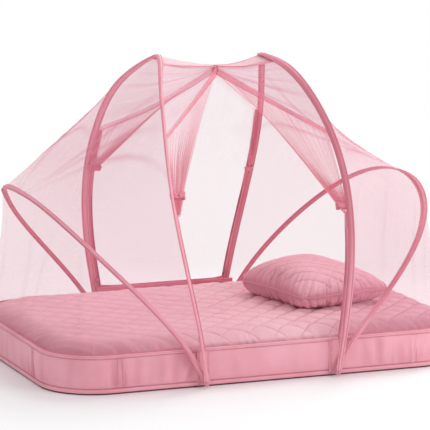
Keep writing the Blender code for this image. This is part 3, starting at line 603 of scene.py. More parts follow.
def rimPieces():
    bones, normals, walk = trayWalk(rim["columns"])
    place = bones + normals * tray["cornerRadius"]
    low, high, deep, top = rim["bottomHemTop"], rim["topHemLow"], rim["thickness"], tray["rimTop"]
    rise = np.linspace(0, 1, 17)
    profile = [(-0.0006 + 0.0016 * math.sin(math.pi * t) ** 0.6, low + (high - low) * t) for t in rise]
    profile += [(-deep, high), (-deep, high - 0.02), (-deep, 0.03), (-deep, low)]
    fade = np.clip(np.sin(np.pi * np.clip(rise, 0.03, 0.97)) * 3, 0.25, 1)[:, None]
    extra, valley = np.zeros((2, len(profile), len(walk)))
    extra[:17] = rimWrinkles(place, walk, low + (high - low) * rise) * fade
    mesh = loftMesh("rimWall", rimRing(profile, extra), looped=True)
    # painted shade in the valleys of the wrinkles, deeper still along the wall's lowest and highest rows
    valley[:17] = np.clip(-(extra[:17] - 0.0002) / 0.0024, 0, 1) ** 0.8
    valley[[0, 16]] = valley[[1, 15]] + 0.2
    setFloat(mesh, "seam", 0.55 * valley.T.ravel())
    addPiece(mesh, rimSatin, "base", ["rim_wall"])
    # the hems: a rounded strip that the wall tucks behind, and one folded over the rim and stitched down outside
    hem = [
        (-0.0015, rim["floorLift"]), (0.0000, 0.0036), (0.0009, 0.0050), (0.0012, 0.0072), (0.0011, 0.0092), (0.0005, 0.0108),
        (-0.0006, 0.0120), (-0.0024, 0.0122), (-deep, 0.0112), (-deep, 0.0052), (-0.004, rim["floorLift"]),
    ]
    cap = [
        (-0.0008, high - 0.0012), (0.0003, high - 0.0004), (0.0010, high + 0.0016), (0.0011, high + 0.0038),
        (0.0007, top - 0.0026), (-0.0003, top - 0.0010), (-0.0018, top - 0.0001), (-0.0034, top),
        (-0.0050, top - 0.0008), (-0.0062, top - 0.0026), (-0.0066, top - 0.0050), (-0.0066, top - 0.0085),
        (-0.0052, top - 0.0087), (-0.0030, high - 0.0012),
    ]
    wave = 0.0003 * cloudyLine(walk, 0.006, 41) + 0.0004 * cloudyLine(walk, 0.05, 43)
    sag = 0.00035 * cloudyLine(walk, 0.007, 45) + 0.0005 * cloudyLine(walk, 0.06, 47)
    for name, outline, soft, least, nodes in (
        ("rimBottomHem", hem, wave, -0.001, ()), ("rimTopHem", cap, sag, -0.002, ["rim_top_binding"]),
    ):
        extra = np.where(np.array(outline)[:, [0]] > least, soft, 0)
        addPiece(loftMesh(name, rimRing(outline, extra), looped=True), hemSatin, "base", nodes)
    # the floor panel, drawn in a little so that the rim shades it; its dark cloth also paints the shadow line where the
    # tray meets the floor
    panel = [(-0.0030, 0.0002), (-0.0014, 0.0014), (-0.0016, 0.0030), (-0.004, 0.0040), (-0.03, 0.0042), (-0.085, 0.0042)]
    rings = rimRing(panel)
    count, rows = rings.shape[:2]
    points = np.concatenate([rings.reshape(-1, 3), [(0, 0, 0.0042), (0, 0, 0.0002)]])
    quads = gridQuads(count, rows, looped=True)[:, [0, 3, 2, 1]]
    start, after = np.arange(count) * rows, (np.arange(count) + 1) % count * rows
    tris = np.concatenate([
        np.stack([start + rows - 1, after + rows - 1, np.full(count, count * rows)], -1),
        np.stack([after, start, np.full(count, count * rows + 1)], -1),
    ])
    flat = points[:, :2]
    mesh = meshFrom("floorPanel", points, quads, tris, flat[quads], flat[tris], closed=True)
    addPiece(mesh, paintedShadowUnderCloth, "base", ["base_floor"])
    # stitch lines: along both hems, and double beside each corner seam
    lines = []
    for out, z in ((0.0009, high - 0.0016), (0.0005, low + 0.0012)):
        loop = [(*(bones[k] + normals[k] * (tray["cornerRadius"] + out)), z) for k in range(0, len(walk), 2)]
        lines.append(loop + [loop[0]])
    for seam in rim["cornerSeams"]:
        for shift in (-2, 2):
            k = (int(np.argmin(np.hypot(*(place - seam).T))) + shift) % len(walk)
            spot = bones[k] + normals[k] * (tray["cornerRadius"] + 0.0014)
            lines.append([(*spot, z) for z in np.linspace(low + 0.003, high - 0.003, 9)])
    return lines


def footPatches():
    lines = []
    width, thickness, low, high = 0.030, 0.0022, 0.0042, rim["topHemLow"] + 0.0005

    def pucker(x, z):
        return 0.0005 * math.sin(z * 320 + x * 140) * math.exp(-abs(abs(x) - 0.012) / 0.003)

    for leg in legs:
        x, y = leg.side * tray["footX"], leg.face * (tray["halfWidth"] + 0.0016)
        mesh = slabMesh(leg.label + "FootPatch", (x, y, (low + high) / 2), (-leg.face, 0, 0), (0, 0, 1),
                        width, high - low, thickness, (18, 36), 0.12, 0.16, pucker)
        addPiece(mesh, hemSatin, "base", [leg.node + "_foot_patch"])
        for shift in (-0.0122, -0.0096, 0.0096, 0.0122):
            lines.append([(x + shift, y + leg.face * 0.0012, z) for z in np.linspace(low + 0.003, high - 0.002, 12)])
    return lines


def sillBand():
    half, low, high, thickness = 0.170, 0.0862, 0.0985, 0.0046
    x = np.linspace(-half, half, 150)
    y = 0.322 + 0.0004 * cloudyLine(x, 0.02, 51)
    z = (low + high) / 2 + 0.0004 * cloudyLine(x, 0.05, 53)
    path = np.stack([x, y, z], -1)
    nodes = ["rear_sill_band"]
    ribbonPiece("rearSillBand", path, (0, 0, 1), high - low, thickness, zipTapeCloth, "base", ring=16, nodes=nodes)
    spots = [(face * thickness * 0.47, up) for face in (-1, 1) for up in (-0.0035, 0.0035)]
    return [path[::4] + np.array([0, out, up]) for out, up in spots]


baseLines = rimPieces() + footPatches() + sillBand()
print("tray made")


# Mattress: quilted in diamonds, its edge gathered into the tray

mattress = {
    "inset": 0.0072, "crown": 0.112, "shoulder": 0.080, "edge": 0.050, "rearEdge": 0.07, "diamond": 0.065, "puff": 0.0066,
    "gather": 0.0042, "spacing": 0.0024, "low": 0.0046,
}


def edgeDistance(x, y, inset):
    reachX, reachY, radius = np.abs(x) - boxX, np.abs(y) - boxY, tray["cornerRadius"] - inset
    return radius - np.where((reachX > 0) & (reachY > 0), np.hypot(reachX, reachY), np.maximum(reachX, reachY))


def quiltPuff(p, q, size, soft=0.42, crossed=1.0):
    # 0 in the seams of a diamond quilt and 1 between them; p and q run across the two sets of seams
    first, second = np.abs(np.sin(np.pi * p / size)) ** soft, np.abs(np.sin(np.pi * q / size)) ** soft
    return first * (1 - crossed * (1 - second))


def crossing(x):
    # the second set of seams is pulled less tight towards the left end
    return 0.35 + 0.65 * ease((x + 0.10) / 0.25)


def seamAway(p, size):
    return np.abs((p + size / 2) % size - size / 2)


def seamShade(p, q, size, width, crossed=1.0):
    # 1 on the lines of a quilt, 0 away from them
    first, second = (np.exp(-((seamAway(line, size) / math.sqrt(2) / width) ** 1.5)) for line in (p, q))
    return np.maximum(first, crossed * second)


def quiltLines(x, y):
    # where each point lies across the mattress's two sets of seams
    return x + y + 0.0035 * cloudy(x, y, 0.12, 61), x - y + 0.0035 * cloudy(x, y, 0.12, 62)


def seamPuckers(p, q, size, height, spread, grain, seeds):
    # small puckers that cross each seam
    total = 0.0
    for across, along, seed in ((p, q, seeds[0]), (q, p, seeds[1])):
        near = seamAway(across, size) / math.sqrt(2)
        pucker = cloudyLine(along + 3 * np.round(across / size), grain, seed)
        total = total + height * np.exp(-((near - 0.004) / spread) ** 2) * pucker
    return total


def mattressTop(x, y):
    inside = edgeDistance(x, y, mattress["inset"])
    edge = mattress["edge"] + mattress["rearEdge"] * ease((y - 0.02) / 0.24)
    z = mattress["crown"] - (mattress["crown"] - mattress["shoulder"]) * (1 - np.clip(inside / edge, 0, 1)) ** 2
    p, q = quiltLines(x, y)
    depth = mattress["puff"] * (0.35 + 0.65 * ease((inside - 0.004) / 0.04))
    z = z - depth * (1 - quiltPuff(p, q, mattress["diamond"], crossed=crossing(x)))
    z = z + seamPuckers(p, q, mattress["diamond"], 0.0007, 0.006, 0.0065, (63, 64))
    return z + 0.0012 * cloudy(x, y, 0.09, 65) * ease(inside / 0.05) - 0.0010


def edgeGathers(x, y, walk, inside):
    # short folds that run in from the rim
    corner = (np.abs(x) > tray["halfLength"] - 0.14) * (np.abs(y) > 0.12)
    strength = 0.55 + 0.45 * cloudyLine(walk, 0.11, 71) + 0.5 * corner
    fold = cloudyLine(walk, 0.0085, 73) + 0.5 * cloudyLine(walk, 0.0042, 75)
    return mattress["gather"] * strength * fold * np.exp(-((inside / 0.017) ** 1.4))


def mattressPiece():
    outline = 4 * boxX + 4 * boxY + 2 * np.pi * tray["cornerRadius"]
    bones, normals, walk = trayWalk(int(outline / mattress["spacing"] / 4) * 4)
    radius = tray["cornerRadius"] - mattress["inset"]
    halfWidth = tray["halfWidth"] - mattress["inset"]
    further = np.arange(0.012, halfWidth - 0.0005, mattress["spacing"])
    steps = np.concatenate([np.linspace(0, 0.012, 9)[:-1], further, [halfWidth]])
    top = []
    for inside in steps:
        shrink = max(0.0, inside - radius)
        flat = bones * ((boxX - shrink) / boxX, (boxY - shrink) / boxY) + normals * max(0.0, radius - inside)
        z = mattressTop(*flat.T) + edgeGathers(*flat.T, walk, inside)
        top.append(np.concatenate([flat, z[:, None]], -1))
    side = []
    for t in (0.0, 0.25, 0.5, 0.75, 0.97):
        flat = bones + normals * (radius - 0.0002 - 0.0015 * (1 - t) ** 2)
        z = mattress["low"] + (top[0][:, 2] - 0.002 - mattress["low"]) * t
        side.append(np.concatenate([flat, z[:, None]], -1))
    shell = np.array(side + top)
    count = shell.shape[1]
    quads = gridQuads(len(shell), count, around=True)
    points = np.concatenate([shell.reshape(-1, 3), [(0, 0, mattress["low"])]])
    k = np.arange(count)
    tris = np.stack([(k + 1) % count, k, np.full(count, len(points) - 1)], -1)
    mesh = meshFrom("quiltedMattress", points, quads, tris, points[quads, :2], points[tris, :2], closed=True)
    # painted shade: in the quilt's seams, along the edge where the rim shades it, and deeper towards the right-hand end
    x, y, z = points.T
    inside = edgeDistance(x, y, mattress["inset"])
    drawn = 0.42 * seamShade(*quiltLines(x, y), mattress["diamond"], 0.0019, crossing(x) ** 1.5)
    drawn = drawn * ease((inside - 0.002) / 0.012)
    inside = np.maximum(inside, 0)
    corner = ease((np.abs(x + 0.02) - 0.12) / 0.16) * (y < 0.2)
    gathered = 0.75 + 0.25 * cloudyLine(x * 1.1 + y, 0.009, 66)
    edge = (0.14 + 0.62 * corner) * gathered * np.exp(-((inside / 0.036) ** 2.2))
    edge = np.maximum(edge, (0.80 + 0.15 * corner) * np.exp(-((inside / 0.0085) ** 2)))
    # painted shade that deepens towards the right-hand end and near the edge
    broad = 0.24 * ease((x - 0.04) / 0.30) + 0.05 * (1 - ease((inside - 0.02) / 0.10))
    setFloat(mesh, "seam", np.clip(np.maximum(drawn, edge) + broad * (1 - edge), 0, 1) * (z > 0.06))
    welded = bmesh.new()
    welded.from_mesh(mesh)
    bmesh.ops.remove_doubles(welded, verts=welded.verts, dist=0.00005)
    welded.to_mesh(mesh)
    welded.free()
    mesh.shade_smooth()
    addPiece(mesh, quiltCotton, "base", ["mattress_cover", "mattress_core"])


def mattressStitches():
    # down the seams of the quilt
    lines = []
    for sign in (1, -1):
        for k in range(-14, 15):
            y = np.arange(-0.34, 0.34, 0.004)
            x = k * mattress["diamond"] - sign * y
            kept = edgeDistance(x, y, mattress["inset"]) > 0.006
            if kept.sum() >= 4:
                x, y = x[kept], y[kept]
                lines.append(np.stack([x, y, mattressTop(x, y) + 0.0001], -1))
    stitches("mattressStitches", lines, threadPink, "base", spacing=0.0050, length=0.0034, thick=0.0007, seed=3)


mattressPiece()
mattressStitches()
print("mattress made")


# Pillow: a stuffed cover with an edge seam, quilted in diamonds

pillow = {
    "width": 0.220, "length": 0.287, "thickness": 0.086, "seamShare": 0.34, "centre": (0.2385, -0.0135), "turn": 16.0,
    "round": 0.10, "diamond": 0.040, "puff": 0.0034, "gather": 0.0062, "steps": (116, 150), "swell": 0.006,
    "cornerDrop": 0.004, "crossed": 0.30, "cornerShift": (-0.029, 0.0115), "sink": 0.0024,
}


def pillowPoint(a, b, top):
    x = pillow["width"] / 2 * a * np.sqrt(1 - pillow["round"] * b**4) * (1 - 0.02 * (1 - b * b))
    y = pillow["length"] / 2 * b * np.sqrt(1 - pillow["round"] * a**4) * (1 - 0.02 * (1 - a * a))
    # the corner nearest the doorway is rounded
    curve = (1 + np.abs(a * b) ** 8) ** (-1 / 8)
    pulled = 1 - (1 - curve) * np.minimum(1, 1.6 * (1 - a) * (1 - b) / 4) * (a < 0) * (b < 0)
    x, y = x * pulled, y * pulled
    # fuller towards the left corner than towards the right one
    across = (a - b) / 2
    dome = ((1 - a**4) * (1 - b**4)).clip(0) ** (0.5 - 0.14 * np.clip(-across, 0, 1)) * (1 - 0.25 * (a * a + b * b) / 2)
    dome = dome * (1 - 0.18 * (1 - np.exp(-(((across + 0.12) / 0.46) ** 2))) - 0.15 * across)
    below = pillow["thickness"] * pillow["seamShare"]
    z = (pillow["thickness"] - below) * dome if top else -np.minimum(below, below * dome * 2.2)
    turn, near = math.radians(pillow["turn"]), ((1 - a) * (1 - b) / 4) ** 2
    return np.stack([
        pillow["centre"][0] + x * math.cos(turn) - y * math.sin(turn) + pillow["cornerShift"][0] * near,
        pillow["centre"][1] + x * math.sin(turn) + y * math.cos(turn) + pillow["cornerShift"][1] * near,
        mattress["crown"] + 0.0003 + below + z - pillow["cornerDrop"] * np.abs(a * b) ** 4,
    ], -1), np.stack([x, y], -1)


def pillowPiece():
    a, b = np.meshgrid(*(np.sin(np.pi / 2 * np.linspace(-1, 1, count + 1)) for count in pillow["steps"]), indexing="ij")
    (upper, upperFlat), (lower, lowerFlat) = pillowPoint(a, b, True), pillowPoint(a, b, False)
    index = np.arange(a.size).reshape(a.shape)
    border = np.ones_like(index, bool)
    border[1:-1, 1:-1] = False
    under = np.where(border, index, 0)
    under[~border] = a.size + np.arange((~border).sum())
    points = np.concatenate([upper.reshape(-1, 3), lower[~border]])
    flat = np.concatenate([upperFlat.reshape(-1, 2), lowerFlat[~border]])
    quads = np.concatenate([
        np.stack([grid[:-1, :-1], grid[1:, :-1], grid[1:, 1:], grid[:-1, 1:]][::order], -1).reshape(-1, 4)
        for grid, order in ((index, 1), (under, -1))
    ])
    mesh = meshFrom("quiltedPillow", points, quads, uvQuads=flat[quads], closed=True)
    piece = bpy.data.objects.new("quiltedPillow", mesh)
    bpy.context.scene.collection.objects.link(piece)
    swellPillow(piece, points)
    place, normal = meshPlaces(mesh), meshPlaces(mesh, "normal")
    # quilting, with the seams drawn in along the surface's own normals
    rimAway = np.minimum((1 - np.abs(a)) * pillow["width"] / 2, (1 - np.abs(b)) * pillow["length"] / 2)
    rimAway = np.append(rimAway.ravel(), rimAway[~border])
    x, y = flat.T
    p = 0.020 + x + y + 0.004 * cloudy(x, y, 0.09, 81)
    q = x - y + 0.004 * cloudy(x, y, 0.09, 82)
    puff = quiltPuff(p, q, pillow["diamond"], crossed=pillow["crossed"]) - 1
    lift = pillow["puff"] * puff * ease((rimAway + 0.004) / 0.02)
    lift += seamPuckers(p, q, pillow["diamond"], 0.0006, 0.005, 0.006, (83, 84))
    # gathers that run in from the edge seam
    turned = np.arctan2(y / pillow["length"], x / pillow["width"]) * 0.16
    fold = cloudyLine(turned + 0.5, 0.0044, 85) + 0.5 * cloudyLine(turned + 0.9, 0.0034, 86)
    fold = fold * (1 - 0.40 * np.abs(x * y / (pillow["width"] * pillow["length"] / 4)) ** 1.5)
    lift += pillow["gather"] * fold * np.exp(-((rimAway / 0.022) ** 1.3)) * ease(rimAway / 0.006)
    place = place + normal * lift[:, None]
    # the underside rests on the mattress and is pressed a little way into it
    floor = mattress["crown"] - pillow["sink"]
    place[:, 2] = np.maximum(place[:, 2] - pillow["sink"] + 0.0006, floor)
    # painted shade: in the quilt's seams, in a band along the edge seam, in the valleys of the gathers, and on the
    # underside, deepest where it meets the mattress
    lines = 0.85 * seamShade(p, q, pillow["diamond"], 0.0012, pillow["crossed"]) * ease(rimAway / 0.01)
    shade = np.maximum(lines, 0.9 * np.exp(-rimAway / 0.003)) + 0.85 * np.clip(-fold, 0, 1) * np.exp(-rimAway / 0.018)
    shade += (np.arange(len(points)) >= a.size) * (0.06 + 0.6 * np.exp(-((place[:, 2] - floor) / 0.006) ** 2))
    setFloat(mesh, "seam", np.clip(shade, 0, 1))
    mesh.vertices.foreach_set("co", place.astype(np.float32).ravel())
    mesh.update()
    mesh.materials.append(pillowCotton)
    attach(piece, "pillow")
    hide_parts("pillow_cover", "pillow_fill")
    # the edge seam: a thin rolled welt with stitches beside it
    seam = place[np.concatenate([index[0, :-1], index[:-1, -1], index[-1, :0:-1], index[:0:-1, 0]])]
    loop = np.concatenate([seam, seam[:2]])
    rings = ribbonRings(loop, (0, 0, 1), 0.0030, 0.0030, ring=8, square=1.0, rounded=False)
    welt = loftMesh("pillowWelt", rings[:-2], looped=True)
    # painted shade along the whole welt
    setFloat(welt, "seam", np.full(len(welt.vertices), 0.66))
    addPiece(welt, pillowCotton, "pillow")
    inner = seam + unit((seam.mean(axis=0) - seam) * (1, 1, 0)) * 0.0035
    lines = [np.concatenate([inner, inner[:1]]) + np.array([0, 0, up]) for up in (0.0022, -0.0022)]
    stitches("pillowStitches", lines, threadPink, "pillow",
             spacing=0.0046, length=0.0032, thick=0.0007, seed=5, uneven=0.15)


def swellPillow(piece, start):
    cloth = piece.modifiers.new("swell", "CLOTH")
    settings = cloth.settings
    settings.quality, settings.mass = 5, 0.3
    settings.tension_stiffness = settings.compression_stiffness = 8.0
    settings.shear_stiffness, settings.bending_stiffness = 4.0, 0.2
    settings.use_pressure, settings.uniform_pressure_force = True, 4.0
    settings.effector_weights.gravity = 0.0
    cloth.point_cache.frame_start, cloth.point_cache.frame_end = 1, 20
    for step in range(1, 21):
        bpy.context.scene.frame_set(step)
    swollen = piece.evaluated_get(bpy.context.evaluated_depsgraph_get())
    moved = meshPlaces(swollen.to_mesh()) - start
    swollen.to_mesh_clear()
    far = np.linalg.norm(moved, axis=1, keepdims=True)
    place = start + moved * np.minimum(1, pillow["swell"] / np.maximum(far, 1e-9))
    piece.modifiers.remove(cloth)
    bpy.context.scene.frame_set(1)
    piece.data.vertices.foreach_set("co", place.astype(np.float32).ravel())
    piece.data.update()


pillowPiece()
print("pillow made")


# Hoops: a sprung wire in a flat sleeve of fabric with a piped edge on either side

sleeve = {"spacing": 0.0022, "pipe": 0.0013, "footWidth": 0.0115, "footEnd": 0.0078, "pucker": 0.00022}
# by hoop and side: the sleeve's share of the hoop's width and where it swells or narrows, as turn, spread and amount;
# then painted shade: of the outer face at the front and rear, of a front leg's edge (which edge, how deep), of the
# inner face
sleeveLooks = {spot: dict(zip(("share", "swell", "outer", "edge", "inner"), values)) for spot, values in {
    ("Low", -1): (0.72, (1.80, 0.25, 0.30), (0.06, 0.10), (1, 0.95), (0.04, 0.62)),
    ("Low", 1): (0.80, (1.20, 0.45, 0.35), (0.85, 0.18), (-1, 0.3), (0.40, 0.55)),
    ("Tall", -1): (0.92, (1.18, 0.26, -0.36), (0.0, 0.05), (1, 0.85), (0.16, 0.08)),
    ("Tall", 1): (0.87, (1.40, 0.24, 0.34), (0.72, 0.12), (-1, 0.95), (0.80, 0.62)),
}.items()}


def hoopPoint(hoop, side, turn):
    # turn runs from 0 at the front pin, over the top at pi / 2, to pi at the rear pin
    share = np.sin(turn)
    lean = sum(term * share ** (power + 1) for power, term in enumerate(hoop["lean"]))
    reach = hoop["span"] * np.sqrt(np.maximum(0, 1 - share ** hoop["roundness"]))
    reach = reach * (1 + hoop["flare"] * share**2) * (1 + hoop["belly"] * share * (1 - share))
    x, z = side * (tray["footX"] + lean), tray["pivotHeight"] + hoop["rise"] * share
    for spot, spread, moveX, moveZ in hoop["pulls"][side]:
        pull = np.exp(-(((turn - spot) / spread) ** 2))
        x, z = x + moveX * pull, z + moveZ * pull
    return np.stack([x, np.where(turn > math.pi / 2, 1.0, -1.0) * reach, z], -1)


def hoopFrames(hoop, side, turn):
    # centre, the sleeve's wide axis pointing away from the roof, and its normal into the net
    turn = np.asarray(turn, float)
    centre = hoopPoint(hoop, side, turn)
    ahead, behind = np.minimum(turn + 0.004, math.pi), np.maximum(turn - 0.004, 0)
    along = unit(hoopPoint(hoop, side, ahead) - hoopPoint(hoop, side, behind))
    share, face = np.sin(turn), np.where(turn > math.pi / 2, 1.0, -1.0)
    tilt, twist = np.full_like(share, math.atan2(sum(hoop["lean"]), hoop["rise"])), np.zeros_like(share)
    if hoop is lowHoop and side > 0:
        tilt = tilt - 0.95 * np.exp(-(((turn - 1.25) / 0.40) ** 2))
    if hoop is tallHoop:
        (front, frontEnd), (rear, rearEnd) = legTwist[side, -1], legTwist[side, 1]
        flat = ease((hoop["rise"] * share - 0.004) / 0.034)
        twist = np.radians(np.where(face < 0, front, rear)) * (1 - share ** np.where(face < 0, frontEnd, rearEnd)) * flat
    wide = np.stack([side * np.cos(tilt) * np.cos(twist), face * np.sin(twist), -np.sin(tilt) * np.cos(twist)], -1)
    wide = squareTo(along, wide)
    inward = unit(np.cross(wide, along))
    return centre, wide, sameWay(inward, np.array([0, 0, tray["pivotHeight"]]) - centre)


def hoopSeam(hoop, side, turn, offset, lift=0.0012):
    centre, wide, inward = hoopFrames(hoop, side, turn)
    return centre + wide * offset + inward * lift


def onFace(turn, face):
    return turn if face < 0 else math.pi - turn


def turnAt(share, face):
    return onFace(np.arcsin(np.clip(share, 0, 1)), face)


def sleeveOutline(width, thickness):
    # across and lift of the sleeve's section: pipe, stitched groove, bulge over the wire, groove, pipe
    pipe = sleeve["pipe"]
    centre = width / 2 - pipe
    groove = centre - pipe - 0.0005

    def piped(middle, degrees):
        return [(middle + pipe * math.cos(angle), pipe * math.sin(angle)) for angle in np.radians(degrees)]

    upper = [(groove, 0.00055)]
    for t in (0.80, 0.60, 0.38, 0.16, -0.16, -0.38, -0.60, -0.80):
        bulge = math.cos(math.pi / 2 * min(1, abs(t) * 1.02)) ** 1.15
        upper.append((groove * t, 0.0007 + (thickness / 2 - 0.0007) * bulge))
    upper.append((-groove, 0.00055))
    right, left = piped(centre, (-75, -38, 0, 38, 75, 112)), piped(-centre, (68, 105, 142, 180, 218, 255, 292))
    return np.array(right + upper + left + [(x, -y) for x, y in upper[::-1]] + piped(centre, (-112,)))


def hoopPath(hoop, side):
    # turns spaced evenly along the hoop, and how far along each of them is
    dense = np.linspace(0, math.pi, 6001)
    far = arcLengths(hoopPoint(hoop, side, dense), 0)
    walked = np.linspace(0, far[-1], int(far[-1] / sleeve["spacing"]))
    return np.interp(walked, far, dense), walked


def hoopPiece(hoop, sideName, side, which):
    body, look = f"{sideName}_{which.lower()}", sleeveLooks[which, side]
    turn, walked = hoopPath(hoop, side)
    centre, wide, inward = hoopFrames(hoop, side, turn)
    share = np.sin(turn)
    width = sleeve["footWidth"] + (hoop["width"] * look["share"] - sleeve["footWidth"]) * np.minimum(1.0, share / 0.25)
    spot, spread, amount = look["swell"]
    width = width * (1 + amount * np.exp(-(((turn - spot) / spread) ** 2)))
    # past each pin the sleeve closes in a rounded end
    closing = np.array([0.14, 0.3, 0.48, 0.64, 0.78, 0.89, 0.96, 1.0])
    reach, extra = sleeve["footEnd"] * closing[:, None], len(closing)
    closing = np.maximum(np.sqrt(1 - closing**2), 0.16)
    centre = np.concatenate([
        centre[0] + unit(centre[0] - centre[1]) * reach[::-1], centre, centre[-1] + unit(centre[-1] - centre[-2]) * reach,
    ])
    wide, inward = (np.pad(axes, ((extra, extra), (0, 0)), mode="edge") for axes in (wide, inward))
    width = np.concatenate([sleeve["footWidth"] * closing[::-1], width, sleeve["footWidth"] * closing])
    close = np.concatenate([closing[::-1], np.ones(len(turn)), closing])[:, None]
    walk, risen = np.pad(walked, extra, mode="edge"), np.pad(share, extra)
    spots = np.array([sleeveOutline(max(w, 0.008), hoop["thickness"] * 0.92) for w in width])
    across, lift = spots[..., 0] * (width / np.maximum(width, 0.008))[:, None], spots[..., 1] * close
    seed = 90 + 7 * side + (3 if which == "Tall" else 0)
    groove = (np.abs(across) / (width[:, None] / 2) - 0.62) / 0.16
    pucker = sleeve["pucker"] * np.exp(-groove**2) * cloudyLine(walk, 0.0035, seed)[:, None]
    slack = 0.0003 * cloudy(walk[:, None], across * 2, 0.03, seed + 1)
    lift = lift + np.sign(lift) * (pucker + slack) * close
    rings = centre[:, None] + wide[:, None] * across[..., None] + inward[:, None] * lift[..., None]
    mesh = loftMesh(f"{sideName}{which}Sleeve", rings)
    # painted shade: on the inner face, the outer one, a front leg's edge and the stitched grooves
    isFront, stitchAt = np.arange(len(walk)) < len(walk) / 2, width / 2 - 2 * sleeve["pipe"] - 0.0005
    depth = np.where(isFront, *look["inner"])
    # painted light: the upper part of a tall hoop's rear leg gets less painted shade
    if which == "Tall":
        depth = depth * np.where(isFront, 1.0, 1 - 0.75 * ease((risen - 0.74) / 0.04))
    outer = np.where(isFront, *look["outer"]) * ease((risen - 0.2) / 0.3)
    edge, deep = look["edge"]
    border = np.exp(-(((across * edge - (width / 2 - sleeve["pipe"])[:, None]) / 0.0016) ** 2))
    border = border * (deep * isFront * ease((risen - 0.1) / 0.1))[:, None]
    stitched = np.exp(-(((np.abs(across) - stitchAt[:, None]) / 0.0007) ** 2))
    stitchGrooveShade = np.where(isFront, 0.75 if side > 0 else 0.30, 0.75)[:, None] * stitched
    shade = np.maximum(depth[:, None] * ease((lift + 0.0006) / 0.0012), outer[:, None])
    shade = np.maximum(np.maximum(shade, border), stitchGrooveShade)
    setFloat(mesh, "seam", np.append(shade.ravel(), (0.4, 0.4)))
    nodes = [f"{body}_hoop_{part}" for part in ("sleeve", "front_cap", "rear_cap")]
    addPiece(mesh, sleeveTape, body, nodes)
    # the sprung wire inside, a round rod along the same line
    angle = np.linspace(0, 2 * np.pi, 10, endpoint=False)[:, None]
    rods = slice(extra + 2, len(walk) - extra - 2, 3)
    rod = centre[rods, None] + 0.0012 * (wide[rods, None] * np.cos(angle) + inward[rods, None] * np.sin(angle))
    addPiece(loftMesh(f"{sideName}{which}Wire", rod), springSteel, body, [f"{body}_hoop_wire"])
    # a line of stitches in each groove, on both faces
    kept = (walk > 0.012) & (walk < walked[-1] - 0.012)
    lines = [
        (centre + wide * (edge * (stitchAt - 0.0002))[:, None] + inward * (lift * 0.0008))[kept][::3]
        for edge in (-1, 1) for lift in (-1, 1)
    ]
    stitches(f"{sideName}{which}SleeveStitches", lines, threadPink, body,
             spacing=0.0038, length=0.0026, thick=0.0006, seed=seed)


for sideName, side in sideSigns.items():
    hoopPiece(lowHoop, sideName, side, "Low")
    hoopPiece(tallHoop, sideName, side, "Tall")
for leg in legs:
    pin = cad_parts[f"{leg.node}_pivot_pin"]
    pin.data.materials.clear()
    pin.data.materials.append(pinPaint)
print("hoops made")


# Net walls

endNet = {
    "columns": 160, "rows": 34, "startShare": 0.198, "hollow": 0.006,
    "breaks": (-1.0, -0.88, -0.68, -0.38, 0.0, 0.38, 0.68, 0.88, 1.0),
    "folds": ((-0.30, -0.16), (-0.16, -0.05), (0.10, 0.24), (0.30, 0.52), (-0.46, -0.56)),
}
sideNet = {
    "columns": 200, "rows": 44, "hollow": {-1: 0.006, 1: 0.032}, "band": 0.07, "bandAngle": 68.5,
    "folds": ((0.03, 0.30), (0.02, 0.42), (0.05, 0.55), (-0.03, -0.30), (-0.02, -0.44), (-0.05, -0.58)),
}


def walkOver(s, startShare, endShare):
    # from s = -1 at the front, where the hoop has risen by startShare, over the top to s = 1 at endShare
    return math.pi / 2 + s * (math.pi / 2 - np.where(s > 0, math.asin(endShare), math.asin(startShare)))


def rimWalk(side, s, inset=0.0042, z=0.0848, startX=0.186):
    radius, straight = tray["cornerRadius"] - inset, boxX - startX
    arc = radius * math.pi / 2
    left = (straight + arc + boxY) * (1 - np.abs(s))
    angle = np.clip((left - straight) / radius, 0, math.pi / 2)
    x = np.where(left < straight, startX + left, boxX + radius * np.sin(angle))
    y = np.where(left < straight, tray["halfWidth"] - inset, boxY + radius * np.cos(angle))
    y = y - np.maximum(left - straight - arc, 0)
    return np.stack([side * x, np.where(s > 0, 1.0, -1.0) * y, np.full_like(x, z)], -1)


def foldRidges(s, v, folds, width):
    # 0 to 1 along the lines of tension, which run from low to high across the cloth
    total = np.zeros(np.broadcast(s, v).shape)
    for low, high in folds:
        near = np.exp(-(((s - (low + (high - low) * v)) / (width * (0.5 + v))) ** 2))
        total = np.maximum(total, near * (0.55 + 0.45 * np.sin(math.pi * (0.25 + 0.6 * v))))
    return total


def gridNormals(grid):
    return unit(np.cross(np.gradient(grid, axis=1), np.gradient(grid, axis=0)))


def outwardNormals(grid):
    normal = gridNormals(grid)
    return normal * np.sign((normal * (grid - np.array([0, 0, 0.2]))).sum(-1, keepdims=True).mean())


